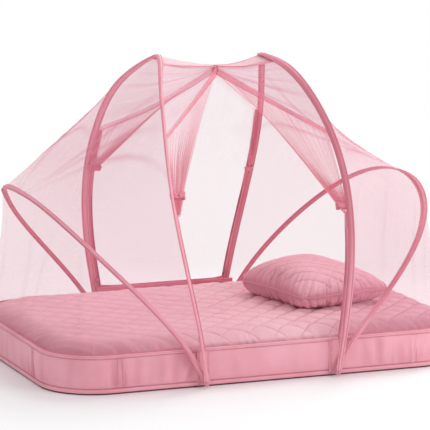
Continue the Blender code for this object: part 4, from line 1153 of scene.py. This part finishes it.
def endNetPieces(sideName, side):
    s = np.linspace(-1, 1, endNet["columns"] + 1)
    v = np.linspace(0, 1, endNet["rows"] + 1)[:, None]
    turn = walkOver(s, endNet["startShare"], endNet["startShare"])
    grid = blendGrid(hoopSeam(lowHoop, side, turn, 0.0046), rimWalk(side, s), v)
    hollow = endNet["hollow"] * np.sin(math.pi * v) * (1 - s**4)
    folds = foldRidges(s, v, endNet["folds"], 0.018)
    gathers = 0.0016 * cloudyLine(s * 0.9, 0.011, 101 + side) * np.exp(-(1 - v) / 0.14)
    gathers = gathers * np.sin(math.pi * np.clip(v, 0, 0.97))
    soft = 0.0022 * cloudy(s * 0.6, v * 0.25, 0.08, 103 + side) * np.sin(math.pi * v)
    grid = grid + outwardNormals(grid) * (-hollow + 0.0024 * folds * np.sin(math.pi * v) + gathers + soft)[..., None]
    shade = 0.18 * folds * np.sin(math.pi * np.clip(v, 0.1, 0.9))
    shade = shade + 0.25 * np.exp(-(1 - v) / 0.05) * (0.5 + 0.5 * cloudyLine(s, 0.012, 105))
    edges = [int(round((b + 1) / 2 * endNet["columns"])) for b in endNet["breaks"]]
    u = arcLengths(grid, 1)
    for number, (first, last) in enumerate(zip(edges[:-1], edges[1:])):
        part = grid[:, first:last + 1]
        columns = u[:, [first]] - u[:, [endNet["columns"] // 2]]
        mesh = sheetMesh(f"{sideName}EndNet{number + 1}", part, shade[:, first:last + 1], columns)
        piece = addPiece(mesh, netTulle, None)
        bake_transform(piece)
        if number == 0:
            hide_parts(f"{sideName}_end_net")
    # a narrow binding closes the net's lower edge on the rim
    path = rimWalk(side, np.linspace(-1, 1, 260), inset=0.0050, z=0.0853, startX=0.190)
    ribbonPiece(f"{sideName}NetBinding", path, (0, 0, 1), 0.0034, 0.0016, zipTapeCloth, "base", ring=10)


def sideNetPiece(sideName, side):
    s = np.linspace(-1, 1, sideNet["columns"] + 1)
    v = np.linspace(0, 1, sideNet["rows"] + 1)[:, None]
    low = hoopSeam(lowHoop, side, walkOver(s, 0.200, 0.165), -0.0046)
    grid = blendGrid(low, hoopSeam(tallHoop, side, walkOver(s, 0.113, 0.093), 0.0062), v)
    hollow = sideNet["hollow"][side] * np.sin(math.pi * v ** 1.15) * (1 - s * s)
    folds = foldRidges(s, v, sideNet["folds"], 0.010)
    soft = 0.0012 * cloudy(s * 0.7, v * 0.3, 0.09, 111 + side) * np.sin(math.pi * v)
    ripple = 0.0012 * cloudyLine(s * 1.3, 0.02, 113 + side) * np.sin(math.pi * v) ** 2
    grid = grid + outwardNormals(grid) * (-hollow + 0.003 * folds * np.sin(math.pi * v) + soft + ripple)[..., None]
    crown = np.exp(-(s / 0.45) ** 2)
    shade = 0.9 * folds * np.sin(math.pi * np.clip(v, 0.12, 0.88)) + 0.10 + 0.22 * crown * ease(v / 0.3)
    piece = addPiece(sheetMesh(f"{sideName}SideNet", grid, shade), netTulle, None)
    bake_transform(piece)
    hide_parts(f"{sideName}_side_net")


for sideName, side in sideSigns.items():
    endNetPieces(sideName, side)
    sideNetPiece(sideName, side)
print("end and side nets made")


# Roof: ridge band, gussets, hip bands, gathered leaves, ties, rear wall

roof = {
    "knotHeight": 0.648, "halfRidge": 0.036, "frontRidge": 0.048, "halfKnot": 0.008, "ridgeSag": 0.008,
    "ridgeDip": {-1: 0.0025, 1: 0.008}, "neckOffset": 0.0080, "pleats": 13,
    "hipShare": {(-1, -1): 0.780, (1, -1): 0.772, (-1, 1): 0.718, (1, 1): 0.765},
}
# by side and face: where the leaf is tied, how far along its hip it reaches, how its free edge bows
# towards the corner of leg and hip and where that is strongest, its tail, and the hip band's width and thickness
leafSizes = (
    "tie", "neck", "shift", "base", "reach", "bow", "bias", "tail", "sag", "bandWidth", "bandWiden", "bandThick", "dense",
)
leaves = {spot: dict(zip(leafSizes, values)) for spot, values in {
    (-1, -1): (0.615, 0.029, 0.007, 0.22, 0.975, 0.08, 1.0, 0.046, 0.002, 0.0120, 0.0095, 0.0030, 0.9),
    (1, -1): (0.550, 0.022, 0.0, 0.32, 0.975, 0.10, 0.8, 0.020, 0.002, 0.0085, 0.0085, 0.0030, 0.9),
    (-1, 1): (0.592, 0.022, 0.0, 0.10, 0.975, 0.16, 0.6, 0.018, 0.012, 0.0090, 0.0060, 0.0026, 0.35),
    (1, 1): (0.550, 0.006, 0.0, 0.05, 0.100, 0.05, 1.0, 0.020, 0.002, 0.0026, 0.0010, 0.0014, 0.5),
}.items()}


def shareWithReach(reach):
    share = np.linspace(0.5, 1.0, 4001)
    spread = np.abs(hoopPoint(tallHoop, 1, np.arcsin(share))[:, 1])
    return float(np.interp(-reach, -spread, share))


def knotPoint(y, drop=0.0):
    return np.stack(np.broadcast_arrays(0.0, y, roof["knotHeight"] - drop), -1)


def ridgeBand(sideName, side):
    body = f"{sideName}_tall"
    v, across = np.linspace(0, 1, 40)[:, None], np.linspace(-1, 1, 25)
    ends = [(roof["frontRidge"], -1) if c < 0 else (roof["halfRidge"], 1) for c in across]
    turn = np.array([turnAt(shareWithReach(reach * abs(c)), face) for (reach, face), c in zip(ends, across)])
    grid = blendGrid(hoopSeam(tallHoop, side, turn, -0.0040, 0.0026), knotPoint(across * roof["halfKnot"]), v)
    sag = roof["ridgeDip"][side] * np.sin(math.pi * v) * (1 - 0.25 * across**2)
    creases = 0.0011 * cloudyLine(across * 0.05, 0.006, 121 + side) * v**0.7
    creases = creases + 0.0008 * cloudy(v * 0.2, across * 0.03, 0.03, 123)
    grid[..., 2] += -sag + creases * (1 - 0.2 * v)
    # each row of the band becomes a flat ring
    lift = gridNormals(grid) * 0.0012 / 2
    mesh = loftMesh(f"{sideName}RidgeBand", np.concatenate([grid + lift, (grid - lift)[:, ::-1]], axis=1))
    piece = addPiece(mesh, ridgeSatin, body, [f"{sideName}_ridge_band"])
    # a rolled hem along each edge, and its stitches
    lines = []
    for faceName, column, beside in (("Front", 0, 1), ("Rear", -1, -2)):
        name = f"{sideName}RidgeHem{faceName}"
        ribbonPiece(name, grid[:, column], (0, 0, 1), 0.0032, 0.0022, hipCloth, body, ring=10, square=0.9)
        lines.append(grid[:, beside] + np.array([0, 0, 0.0008]))
    return lines


def gussetPiece(leg):
    side, face = leg.side, leg.face
    v, t = np.linspace(0, 1, 50)[:, None], np.linspace(0, 1, 46)
    first, last = math.asin(shareWithReach(roof["halfRidge"])), math.asin(roof["hipShare"][side, face])
    start = hoopSeam(tallHoop, side, onFace(first + (last - first) * t, face), -0.0050, 0.0012)
    grid = blendGrid(start, knotPoint(face * (roof["halfKnot"] + 0.004 * t), 0.001 + 0.009 * t), v)
    grid[..., 2] -= (roof["ridgeSag"] + (leaves[side, face]["sag"] - roof["ridgeSag"]) * t) * np.sin(math.pi * v)
    rays, fine = (cloudyLine(t * 0.2, size, seed + 3 * side + face) for size, seed in ((0.012, 131), (0.005, 137)))
    slack = np.sin(math.pi * np.clip(v, 0, 0.96)) ** 0.7
    grid = grid + gridNormals(grid) * ((0.0028 * rays + 0.0012 * fine) * slack * (1 - 0.4 * v))[..., None]
    shade = 0.16 + 0.85 * np.clip(rays * 1.4 - 0.25, 0, 1) * slack + 0.4 * np.clip(fine - 0.25, 0, 1) * slack
    mesh = sheetMesh(leg.label + "Gusset", grid, shade + 0.55 * ease((v - 0.72) / 0.28))
    piece = addPiece(mesh, netTulle, leg.body, [f"{leg.node}_roof_gusset"])


def hipLine(side, face, v, drop=0.0):
    start = hoopSeam(tallHoop, side, turnAt(roof["hipShare"][side, face], face), -0.0060, 0.0016)
    end = np.array([side * 0.001, face * (roof["halfKnot"] + 0.004), roof["knotHeight"] - 0.010])
    line = start * (1 - v[..., None]) + end * v[..., None]
    line[..., 2] -= leaves[side, face]["sag"] * np.sin(math.pi * v) + drop
    return line


def leafNeck(side, face, along, drop=0.0):
    leaf = leaves[side, face]
    along, drop = np.broadcast_arrays(along, drop)
    centre, wide, inward = hoopFrames(tallHoop, side, turnAt(leaf["tie"] - drop / tallHoop["rise"], face))
    path = unit(np.cross(wide, inward))
    across = squareTo(path, wide * 0.3 + np.array([side * 0.7, 0, 0]))
    out, deep = tallHoop["width"] / 2 - 0.002, tallHoop["thickness"] / 2 + roof["neckOffset"] - 0.003
    start = centre - wide * out + inward * deep - np.array([side * leaf["shift"], 0, 0])
    return start - across * (leaf["neck"] * along)[..., None], across, sameWay(np.cross(path, across), inward)


def leafPiece(leg):
    side, face, seed, leaf = leg.side, leg.face, 141 + 5 * leg.side + 2 * leg.face, leaves[leg.side, leg.face]
    along = np.linspace(0, 1, roof["pleats"] * 10 + 1)
    v = np.linspace(0, 1, 64)[:, None]
    neck, wide, inward = leafNeck(side, face, along)
    wide, inward = wide[len(wide) // 2], inward[len(inward) // 2]
    grid = blendGrid(hipLine(side, face, along * leaf["reach"], drop=0.0010), neck, v)
    # the free edge bows towards the corner, and the cloth between the pleats hangs in a little
    corner = hipLine(side, face, np.array([0.0]))[0]
    grid = grid + (corner - grid) * (leaf["bow"] * np.sin(math.pi * v ** leaf["bias"]) * along**1.6)[..., None]
    phase = along * roof["pleats"] + 0.35 * cloudyLine(along, 0.16, seed)
    wave = np.sin(2 * math.pi * phase) * 0.8 + 0.35 * np.sin(4.6 * math.pi * phase + 1.0)
    size = 0.0016 + 0.0042 * ease(v / 0.75) * (1 - 0.25 * ease((v - 0.8) / 0.2))
    size = size * (0.75 + 0.45 * cloudyLine(along, 0.09, seed + 1))
    bag = 0.010 * np.sin(math.pi * v) * np.sin(math.pi * along) * (1 + 0.4 * cloudyLine(v, 0.3, seed + 2))
    grid = grid + inward * (size * wave * np.clip(v * 8, 0.15, 1) + bag * 0.5)[..., None]
    rows = [grid + wide * (0.0022 * ease((v - 0.62) / 0.38) * np.cos(2 * math.pi * phase + 0.7))[..., None]]
    # below the tie a short tail of the same cloth, drawn to a point
    tail = np.linspace(0, 1, 15)[1:]
    for t in tail:
        low = leafNeck(side, face, 0.5 + (along - 0.5) * (1 - 0.62 * t**1.2) - 0.28 * t, leaf["tail"] * t)[0]
        wavy = inward * (size[-1] * wave * (0.85 + 0.5 * np.sin(math.pi * t)) * (1 - 0.5 * t))[:, None]
        ragged = np.array([0, 0, 1]) * (0.004 * t * cloudyLine(along, 0.13, seed + 3))[:, None]
        rows.append((low + wavy + ragged)[None])
    grid = np.concatenate(rows)
    fall = np.append(v, 1 + tail * 0.3)[:, None]
    crest = 0.85 * np.clip(wave - 0.40, 0, 1) * (0.45 + 0.55 * np.clip(1.2 - fall, 0, 1))
    crest = crest + 0.2 * cloudyLine(along, 0.11, seed + 4)
    shade = leaf["base"] + 0.16 * np.clip(fall, 0, 1) ** 2 + crest
    shade = shade + 0.12 * (along < 0.06) + (0.45 if face < 0 else 0.10) * (along > 0.985)
    mesh = sheetMesh(leg.label + "NetLeaf", grid, shade)
    piece = addPiece(mesh, gatheredTulle, leg.body, [f"{leg.node}_net_leaf"])


def hipBand(leg):
    v, seed, leaf = np.linspace(0, 1, 60), 151 + 5 * leg.side + leg.face, leaves[leg.side, leg.face]
    path = hipLine(leg.side, leg.face, v, drop=0.0008)
    width = leaf["bandWidth"] + leaf["bandWiden"] * v**1.5 + 0.12 * leaf["bandWidth"] * cloudyLine(v, 0.09, seed)
    thick = leaf["bandThick"] * (1 + 0.15 * cloudyLine(v, 0.05, seed + 1))
    outward = np.array([leg.side * 0.55, leg.face * 0.45, -0.75])
    rings = ribbonRings(path, outward, width, thick, ring=16, square=0.75)
    # pleats that run along the band
    angle = 2 * math.pi * np.arange(16) / 16
    crease = 0.0004 * np.sin(5 * angle) * np.sin(math.pi * v)[:, None]
    mesh = loftMesh(leg.label + "HipBand", rings + unit(rings - path[:, None]) * crease[..., None])
    streaks = leaf["dense"] * (0.75 + 0.35 * cloudy(np.arange(16) * 0.01, v[:, None] * 0.05, 0.012, seed + 3))
    setFloat(mesh, "foldShade", np.append(streaks.ravel(), (0.5, 0.5)))
    addPiece(mesh, gatheredTulle, leg.body)
    if (leg.side, leg.face) != (1, 1):
        along = np.gradient(path, axis=0)
        edge = path + unit(np.cross(along, np.cross(outward, along))) * (width * 0.46)[:, None]
        ribbonPiece(leg.label + "HipCord", edge, outward, 0.0015, 0.0013, zipTapeCloth, leg.body, ring=8, square=1.0)


def tiePiece(leg):
    height, wall, gap = 0.0150, 0.0016, 0.0014
    centre, wide, inward = (part[0] for part in leafNeck(leg.side, leg.face, np.array([0.46]), 0.006))
    along = unit(np.cross(wide, inward))
    along = along * (1 if along[2] > 0 else -1)
    angle = np.linspace(0, 2 * math.pi, 44, endpoint=False)[:, None]
    reachWide, reachDeep = leaves[leg.side, leg.face]["neck"] / 2 + gap + 0.0014, 0.0052 + gap
    x, y = (np.sign(way) * np.abs(way) ** 0.6 for way in (np.cos(angle), np.sin(angle)))
    wave = 0.0007 * np.sin(angle * 5 + leg.side) + 0.0004 * np.sin(angle * 11)
    path = centre + wide * (x * reachWide) + inward * (y * reachDeep) + along * wave
    width = height - 0.003 * np.abs(np.sin(np.linspace(0, 2 * math.pi, 46)))
    meshes = [loopMesh("strap", path, along, width, wall, ring=12, square=0.55)]
    # a flat knot and two short ends on the side that faces the doorway
    out = inward * leg.face
    front = centre + out * (reachDeep + 0.0016) - wide * 0.003
    meshes.append(slabMesh("knot", front, wide, along, 0.0105, 0.0095, 0.0044, (8, 8), 0.6, 0.5))
    t = np.linspace(0, 1, 14)[:, None]
    for rise, length in ((0.55, 0.0125), (-0.15, 0.0110)):
        end = front + (along * rise - wide) * length * t + out * (0.0022 * np.sin(math.pi * t))
        meshes.append(loftMesh("end", ribbonRings(end, along, 0.0050 + 0.0016 * t[:, 0], 0.0013, ring=10)))
    mesh = joinMeshes(leg.label + "LeafTie", meshes)
    addPiece(mesh, zipTapeCloth, leg.body, [f"{leg.node}_leaf_tie"])


def centreKnot():
    angle, rows = np.linspace(0, 2 * math.pi, 48, endpoint=False), []
    for z, radius in ((0.6508, 0.0026), (0.6502, 0.0048), (0.6485, 0.0060), (0.6455, 0.0056), (0.6420, 0.0064),
                      (0.6385, 0.0070), (0.6345, 0.0060), (0.6310, 0.0042), (0.6295, 0.0022)):
        wavy = radius * (1 + 0.13 * np.sin(9 * angle + z * 300) + 0.05 * np.sin(17 * angle))
        rows.append(np.stack([wavy * np.cos(angle), wavy * np.sin(angle) * 1.15, np.full_like(angle, z)], -1))
    addPiece(loftMesh("centreKnot", rows), zipTapeCloth, "left_tall")


# Zip tape beside each tall leg, its teeth, and the slider

zipper = {
    "width": {(-1, -1): 0.0100, (1, -1): 0.0056, (-1, 1): 0.0095, (1, 1): 0.0052}, "gap": -0.0016,
    "borderTop": {(-1, -1): 0.552, (1, -1): 0.520, (-1, 1): 0.714, (1, 1): 0.763}, "topShare": 0.47, "lowShare": 0.112,
    "toothSpacing": 0.0021, "tooth": (0.0026, 0.0024, 0.0011),
}


def zipPoint(side, face, share, across, lift=0.0):
    centre, wide, inward = hoopFrames(tallHoop, side, turnAt(share, face))
    out = tallHoop["width"] / 2 + zipper["gap"] + zipper["width"][side, face] * across
    return centre - wide * out + inward * lift, wide, inward


def zipRuns(leg, share, seed, runs):
    # the line of the tape's middle, a little wavy, its wide direction, and lines of stitches
    path, wide, inward = zipPoint(leg.side, leg.face, share, 0.46)
    lines = [zipPoint(leg.side, leg.face, share[::3], across, lift)[0] for across, lift in runs]
    return path + inward * (0.0006 * cloudyLine(share, 0.03, seed))[:, None], wide, lines


def zipPieces(leg):
    spot, seed = (leg.side, leg.face), 161 + 5 * leg.side + leg.face
    share = np.linspace(zipper["lowShare"], zipper["topShare"], 110)
    runs = [(across, lift) for across in (0.30, 0.66) for lift in (-0.0008, 0.0008)]
    path, wide, lines = zipRuns(leg, share, seed, runs)
    ribbonPiece(leg.label + "ZipTape", path, wide, zipper["width"][spot] + 0.003, 0.0013, zipTapeCloth, leg.body,
                ring=14, square=0.4, nodes=[f"{leg.node}_zip_tape"])
    # the coil of teeth on the free edge and a cord-like welt on the side of the leg
    teeth, welt = zipPoint(*spot, share, 0.90, 0.0004)[0], zipPoint(*spot, share, 0.06, 0.0002)[0]
    laidAlong(leg.label + "ZipTeeth", [teeth], toothTree, zipper["toothSpacing"], zipper["tooth"], seed,
              zipPlastic, leg.body, uneven=0.02)
    ribbonPiece(leg.label + "ZipWelt", welt, wide, 0.0024, 0.0026, sleeveTape, leg.body, ring=8, square=1.0)
    return lines


def legBorder(leg):
    # the tape goes on above the zip: to the tie at the front, to the hip at the rear
    spot, name = (leg.side, leg.face), leg.label + "Border"
    share = np.linspace(zipper["topShare"] - 0.004, zipper["borderTop"][spot], 90)
    path, wide, lines = zipRuns(leg, share, 181 + leg.side + leg.face, [(0.35, -0.001), (0.35, 0.001)])
    width = (zipper["width"][spot] + 0.003) * (1 - 0.35 * ease((share - share[-1] + 0.05) / 0.05))
    ribbonPiece(name, path, wide, width, 0.0016, zipTapeCloth, leg.body, ring=14, square=0.4)
    seam = zipPoint(*spot, share, 0.80, 0.0002)[0]
    ribbonPiece(name + "Welt", seam, wide, 0.0020, 0.0024, hipCloth, leg.body, ring=8, square=1.0)
    return lines


def sliderPiece(leg):
    low, high = (zipPoint(leg.side, leg.face, share, 0.5) for share in (0.150, 0.300))
    start, wide, inward = low
    along = unit(high[0] - start)
    wide = unit(wide - along * (wide @ along))
    inward = unit(inward - along * (inward @ along) - wide * (inward @ wide))
    middle = start + inward * 0.0039
    # the plate, the shoe and the nose
    meshes = [
        slabMesh("slab", middle + inward * lift + along * ahead, wide, along, *sizes) for lift, ahead, *sizes in (
            (0.0012, 0, 0.0080, 0.0120, 0.0017, (10, 14), 0.55, 0.4),
            (-0.0008, 0, 0.0074, 0.0110, 0.0014, (10, 14), 0.55, 0.4),
            (0.0002, 0.0050, 0.0040, 0.0030, 0.0030, (6, 6), 0.6, 0.5),
        )
    ]
    t = np.linspace(0, math.pi, 16)[:, None]
    arch = middle + inward * (0.0018 + 0.0024 * np.sin(t)) + along * (0.0038 * np.cos(t))
    meshes.append(loftMesh("arch", ribbonRings(arch, wide, 0.0022, 0.0010, ring=8)))
    # the pull: a ring and a tapered tab that hangs down the tape
    t = np.linspace(0, 2 * math.pi, 24, endpoint=False)[:, None]
    loop = middle + inward * 0.0034 - along * 0.0036 + wide * (0.0026 * np.cos(t)) + along * (0.0030 * np.sin(t))
    meshes.append(loopMesh("ring", loop, np.cross(wide, along), 0.0010, 0.0010))
    t = np.linspace(0, 1, 18)[:, None]
    tab = middle + inward * (0.0034 - 0.0004 * t) - along * (0.0062 + 0.0185 * t)
    meshes.append(loftMesh("tab", ribbonRings(tab, wide, 0.0036 + 0.0018 * np.sin(math.pi * t[:, 0] * 0.8), 0.0015)))
    mesh = joinMeshes(leg.label + "ZipSlider", meshes)
    addPiece(mesh, zipMetal, f"{leg.node}_slider", [f"{leg.node}_zip_slider"])


def rearWall(sideName, side):
    v, s = np.linspace(0, 1, 47)[:, None], np.linspace(0, 1, 43)
    low, high, foot, outside = 0.124, roof["hipShare"][side, 1] - 0.004, 0.0955, 0.3274
    edge = zipPoint(side, 1, low + (high - low) * v[:, 0], 1.0)[0]
    first, last = edge[0], edge[-1]
    bow = edge - (first * (1 - v) + last * v)
    x = 0.146 * (1 - s)
    sill = np.stack([side * x, np.full_like(x, outside), np.full_like(x, foot)], -1)
    hip = hipLine(side, 1, s, drop=0.002) + np.array([0, 0.004, 0])
    hip[-1, 0] = 0.0
    reach = np.minimum(1, s * 6)[:, None]
    grid = blendGrid(first * (1 - reach) + sill * reach, last * (1 - reach) + hip * reach, v)
    grid = grid + bow[:, None] * (1 - s)[:, None]
    soft = 0.0016 * cloudy(s * 0.2 * side, v * 0.4, 0.07, 171)
    grid[..., 1] += soft * np.sin(math.pi * v) * np.clip(np.sin(math.pi * s) * 2, 0, 1)
    rays = np.clip(cloudyLine(s * 0.3 * side, 0.022, 173) - 0.1, 0, 1) * ease((v - 0.55) / 0.45)
    clouds = np.clip(cloudy(s * 0.25 * side, v * 0.9, 0.045, 175) - 0.35, 0, 1) * ease((v - 0.6) / 0.3)
    shade = 0.18 * rays + 0.3 * clouds + 0.10 * ease((v - 0.45) / 0.4) + 0.35 * ease((v - 0.965) / 0.03)
    mesh = sheetMesh(f"{sideName}RearWall", grid, shade)
    piece = addPiece(mesh, wallTulle, f"{sideName}_tall", [f"{sideName}_rear_wall_net"])
    # tape along its foot
    hem = grid[0] + np.array([0, 0.0002, 0.0015]) + np.array([side * 0.004, 0, 0]) * (1 - np.minimum(1, s * 8))[:, None]
    ribbonPiece(f"{sideName}RearWallHem", hem, (0, 0, 1), 0.0075, 0.0013, zipTapeCloth, f"{sideName}_tall", ring=10)


centreKnot()
for sideName, side in sideSigns.items():
    lines = ridgeBand(sideName, side)
    for leg in legs:
        if leg.side == side:
            for makePiece in (hipBand, gussetPiece, leafPiece, tiePiece):
                makePiece(leg)
            lines += zipPieces(leg) + legBorder(leg)
            sliderPiece(leg)
    rearWall(sideName, side)
    stitches(f"{sideName}RoofStitches", lines, threadPink, f"{sideName}_tall",
             spacing=0.0040, length=0.0027, thick=0.0006, seed=11)
stitches("trayStitches", baseLines, threadRose, "base",
         spacing=rim["stitchSpacing"], length=0.0033, thick=0.0011, seed=2)
print("roof, leaves and zips made")


# Floor, light and camera

studio = {
    "sky": 0.76, "skyColour": (1.0, 0.955, 0.96, 1), "clearFrom": 0.62, "clearTo": 1.15, "aim": (0, 0, 0.15),
    "keyLamp": ((2.4, 1.6, 3.6), 2.6, 92.0), "fillLamp": ((1.9, -2.6, 1.3), 1.4, 24.0),  # place, size and power
}
white = (1, 1, 1, 1)


def addTo(scene, name, data):
    made = bpy.data.objects.new(name, data)
    scene.collection.objects.link(made)
    return made


def turnedTo(place, aim):
    return (Vector(aim) - Vector(place)).to_track_quat("-Z", "Y").to_euler()


def makeFloor():
    mesh = bpy.data.meshes.new("studioFloor")
    mesh.from_pydata([(-9, -9, 0), (9, -9, 0), (9, 9, 0), (-9, 9, 0)], [], [(0, 1, 2, 3)])
    floor = addTo(bpy.context.scene, "studioFloor", mesh)
    material, nodes, shader = startMaterial("studioPaper")
    paper = nodes.mix(nodes.noise(nodes.place(), 3.0), tone(247, 251, 251), tone(249, 253, 253))
    nodes.feed(shader, {"Base Color": paper, "Roughness": 0.9, "Specular IOR Level": 0.1})
    # away from the object the paper is plain white to the camera
    far = nodes.add("ShaderNodeVectorMath", {0: nodes.place()}, operation="LENGTH").outputs["Value"]
    clear = nodes.ranged(far, studio["clearFrom"], studio["clearTo"], interpolation_type="SMOOTHSTEP")
    seen = nodes.math("MULTIPLY", clear, nodes.add("ShaderNodeLightPath").outputs["Is Camera Ray"])
    glow = nodes.add("ShaderNodeEmission", {"Color": white, "Strength": 1.0}).outputs[0]
    blend = nodes.add("ShaderNodeMixShader", {0: seen, 1: shader.outputs[0], 2: glow}).outputs[0]
    nodes.feed(material.node_tree.nodes["Material Output"], {"Surface": blend})
    mesh.materials.append(material)


def makeLamp(name):
    place, size, power = studio[name]
    light = bpy.data.lights.new(name, "AREA")
    light.shape, light.size, light.energy = "DISK", size, power
    lamp = addTo(bpy.context.scene, name, light)
    lamp.location, lamp.rotation_euler = place, turnedTo(place, studio["aim"])


def makeWorld():
    world = bpy.data.worlds.new("studioWorld")
    bpy.context.scene.world = world
    world.use_nodes = True
    nodes = Nodes(world.node_tree)
    soft = nodes.feed(world.node_tree.nodes["Background"], {"Color": studio["skyColour"], "Strength": studio["sky"]})
    plain = nodes.add("ShaderNodeBackground", {"Color": white, "Strength": 1.0})
    rays = nodes.add("ShaderNodeLightPath").outputs
    seen = nodes.math("MAXIMUM", rays["Is Camera Ray"], rays["Is Glossy Ray"])
    seen = nodes.math("MAXIMUM", seen, rays["Is Transmission Ray"])
    mix = nodes.add("ShaderNodeMixShader", {0: seen, 1: soft.outputs[0], 2: plain.outputs[0]}).outputs[0]
    nodes.feed(world.node_tree.nodes["World Output"], {"Surface": mix})


def makeCamera():
    data = bpy.data.cameras.new("camera")
    data.lens, data.sensor_width = 267.8, 36.0
    data.clip_start, data.clip_end = 0.1, 60.0
    camera = addTo(bpy.context.scene, "camera", data)
    camera.location = (-2.5698, -6.5756, 1.5475)
    camera.rotation_euler = turnedTo(camera.location, (-0.0134, -0.0341, 0.3181))
    bpy.context.scene.camera = camera


makeFloor()
makeLamp("keyLamp")
makeLamp("fillLamp")
makeWorld()
makeCamera()
bpy.context.scene.view_settings.view_transform = "Standard"

print("scene ready")
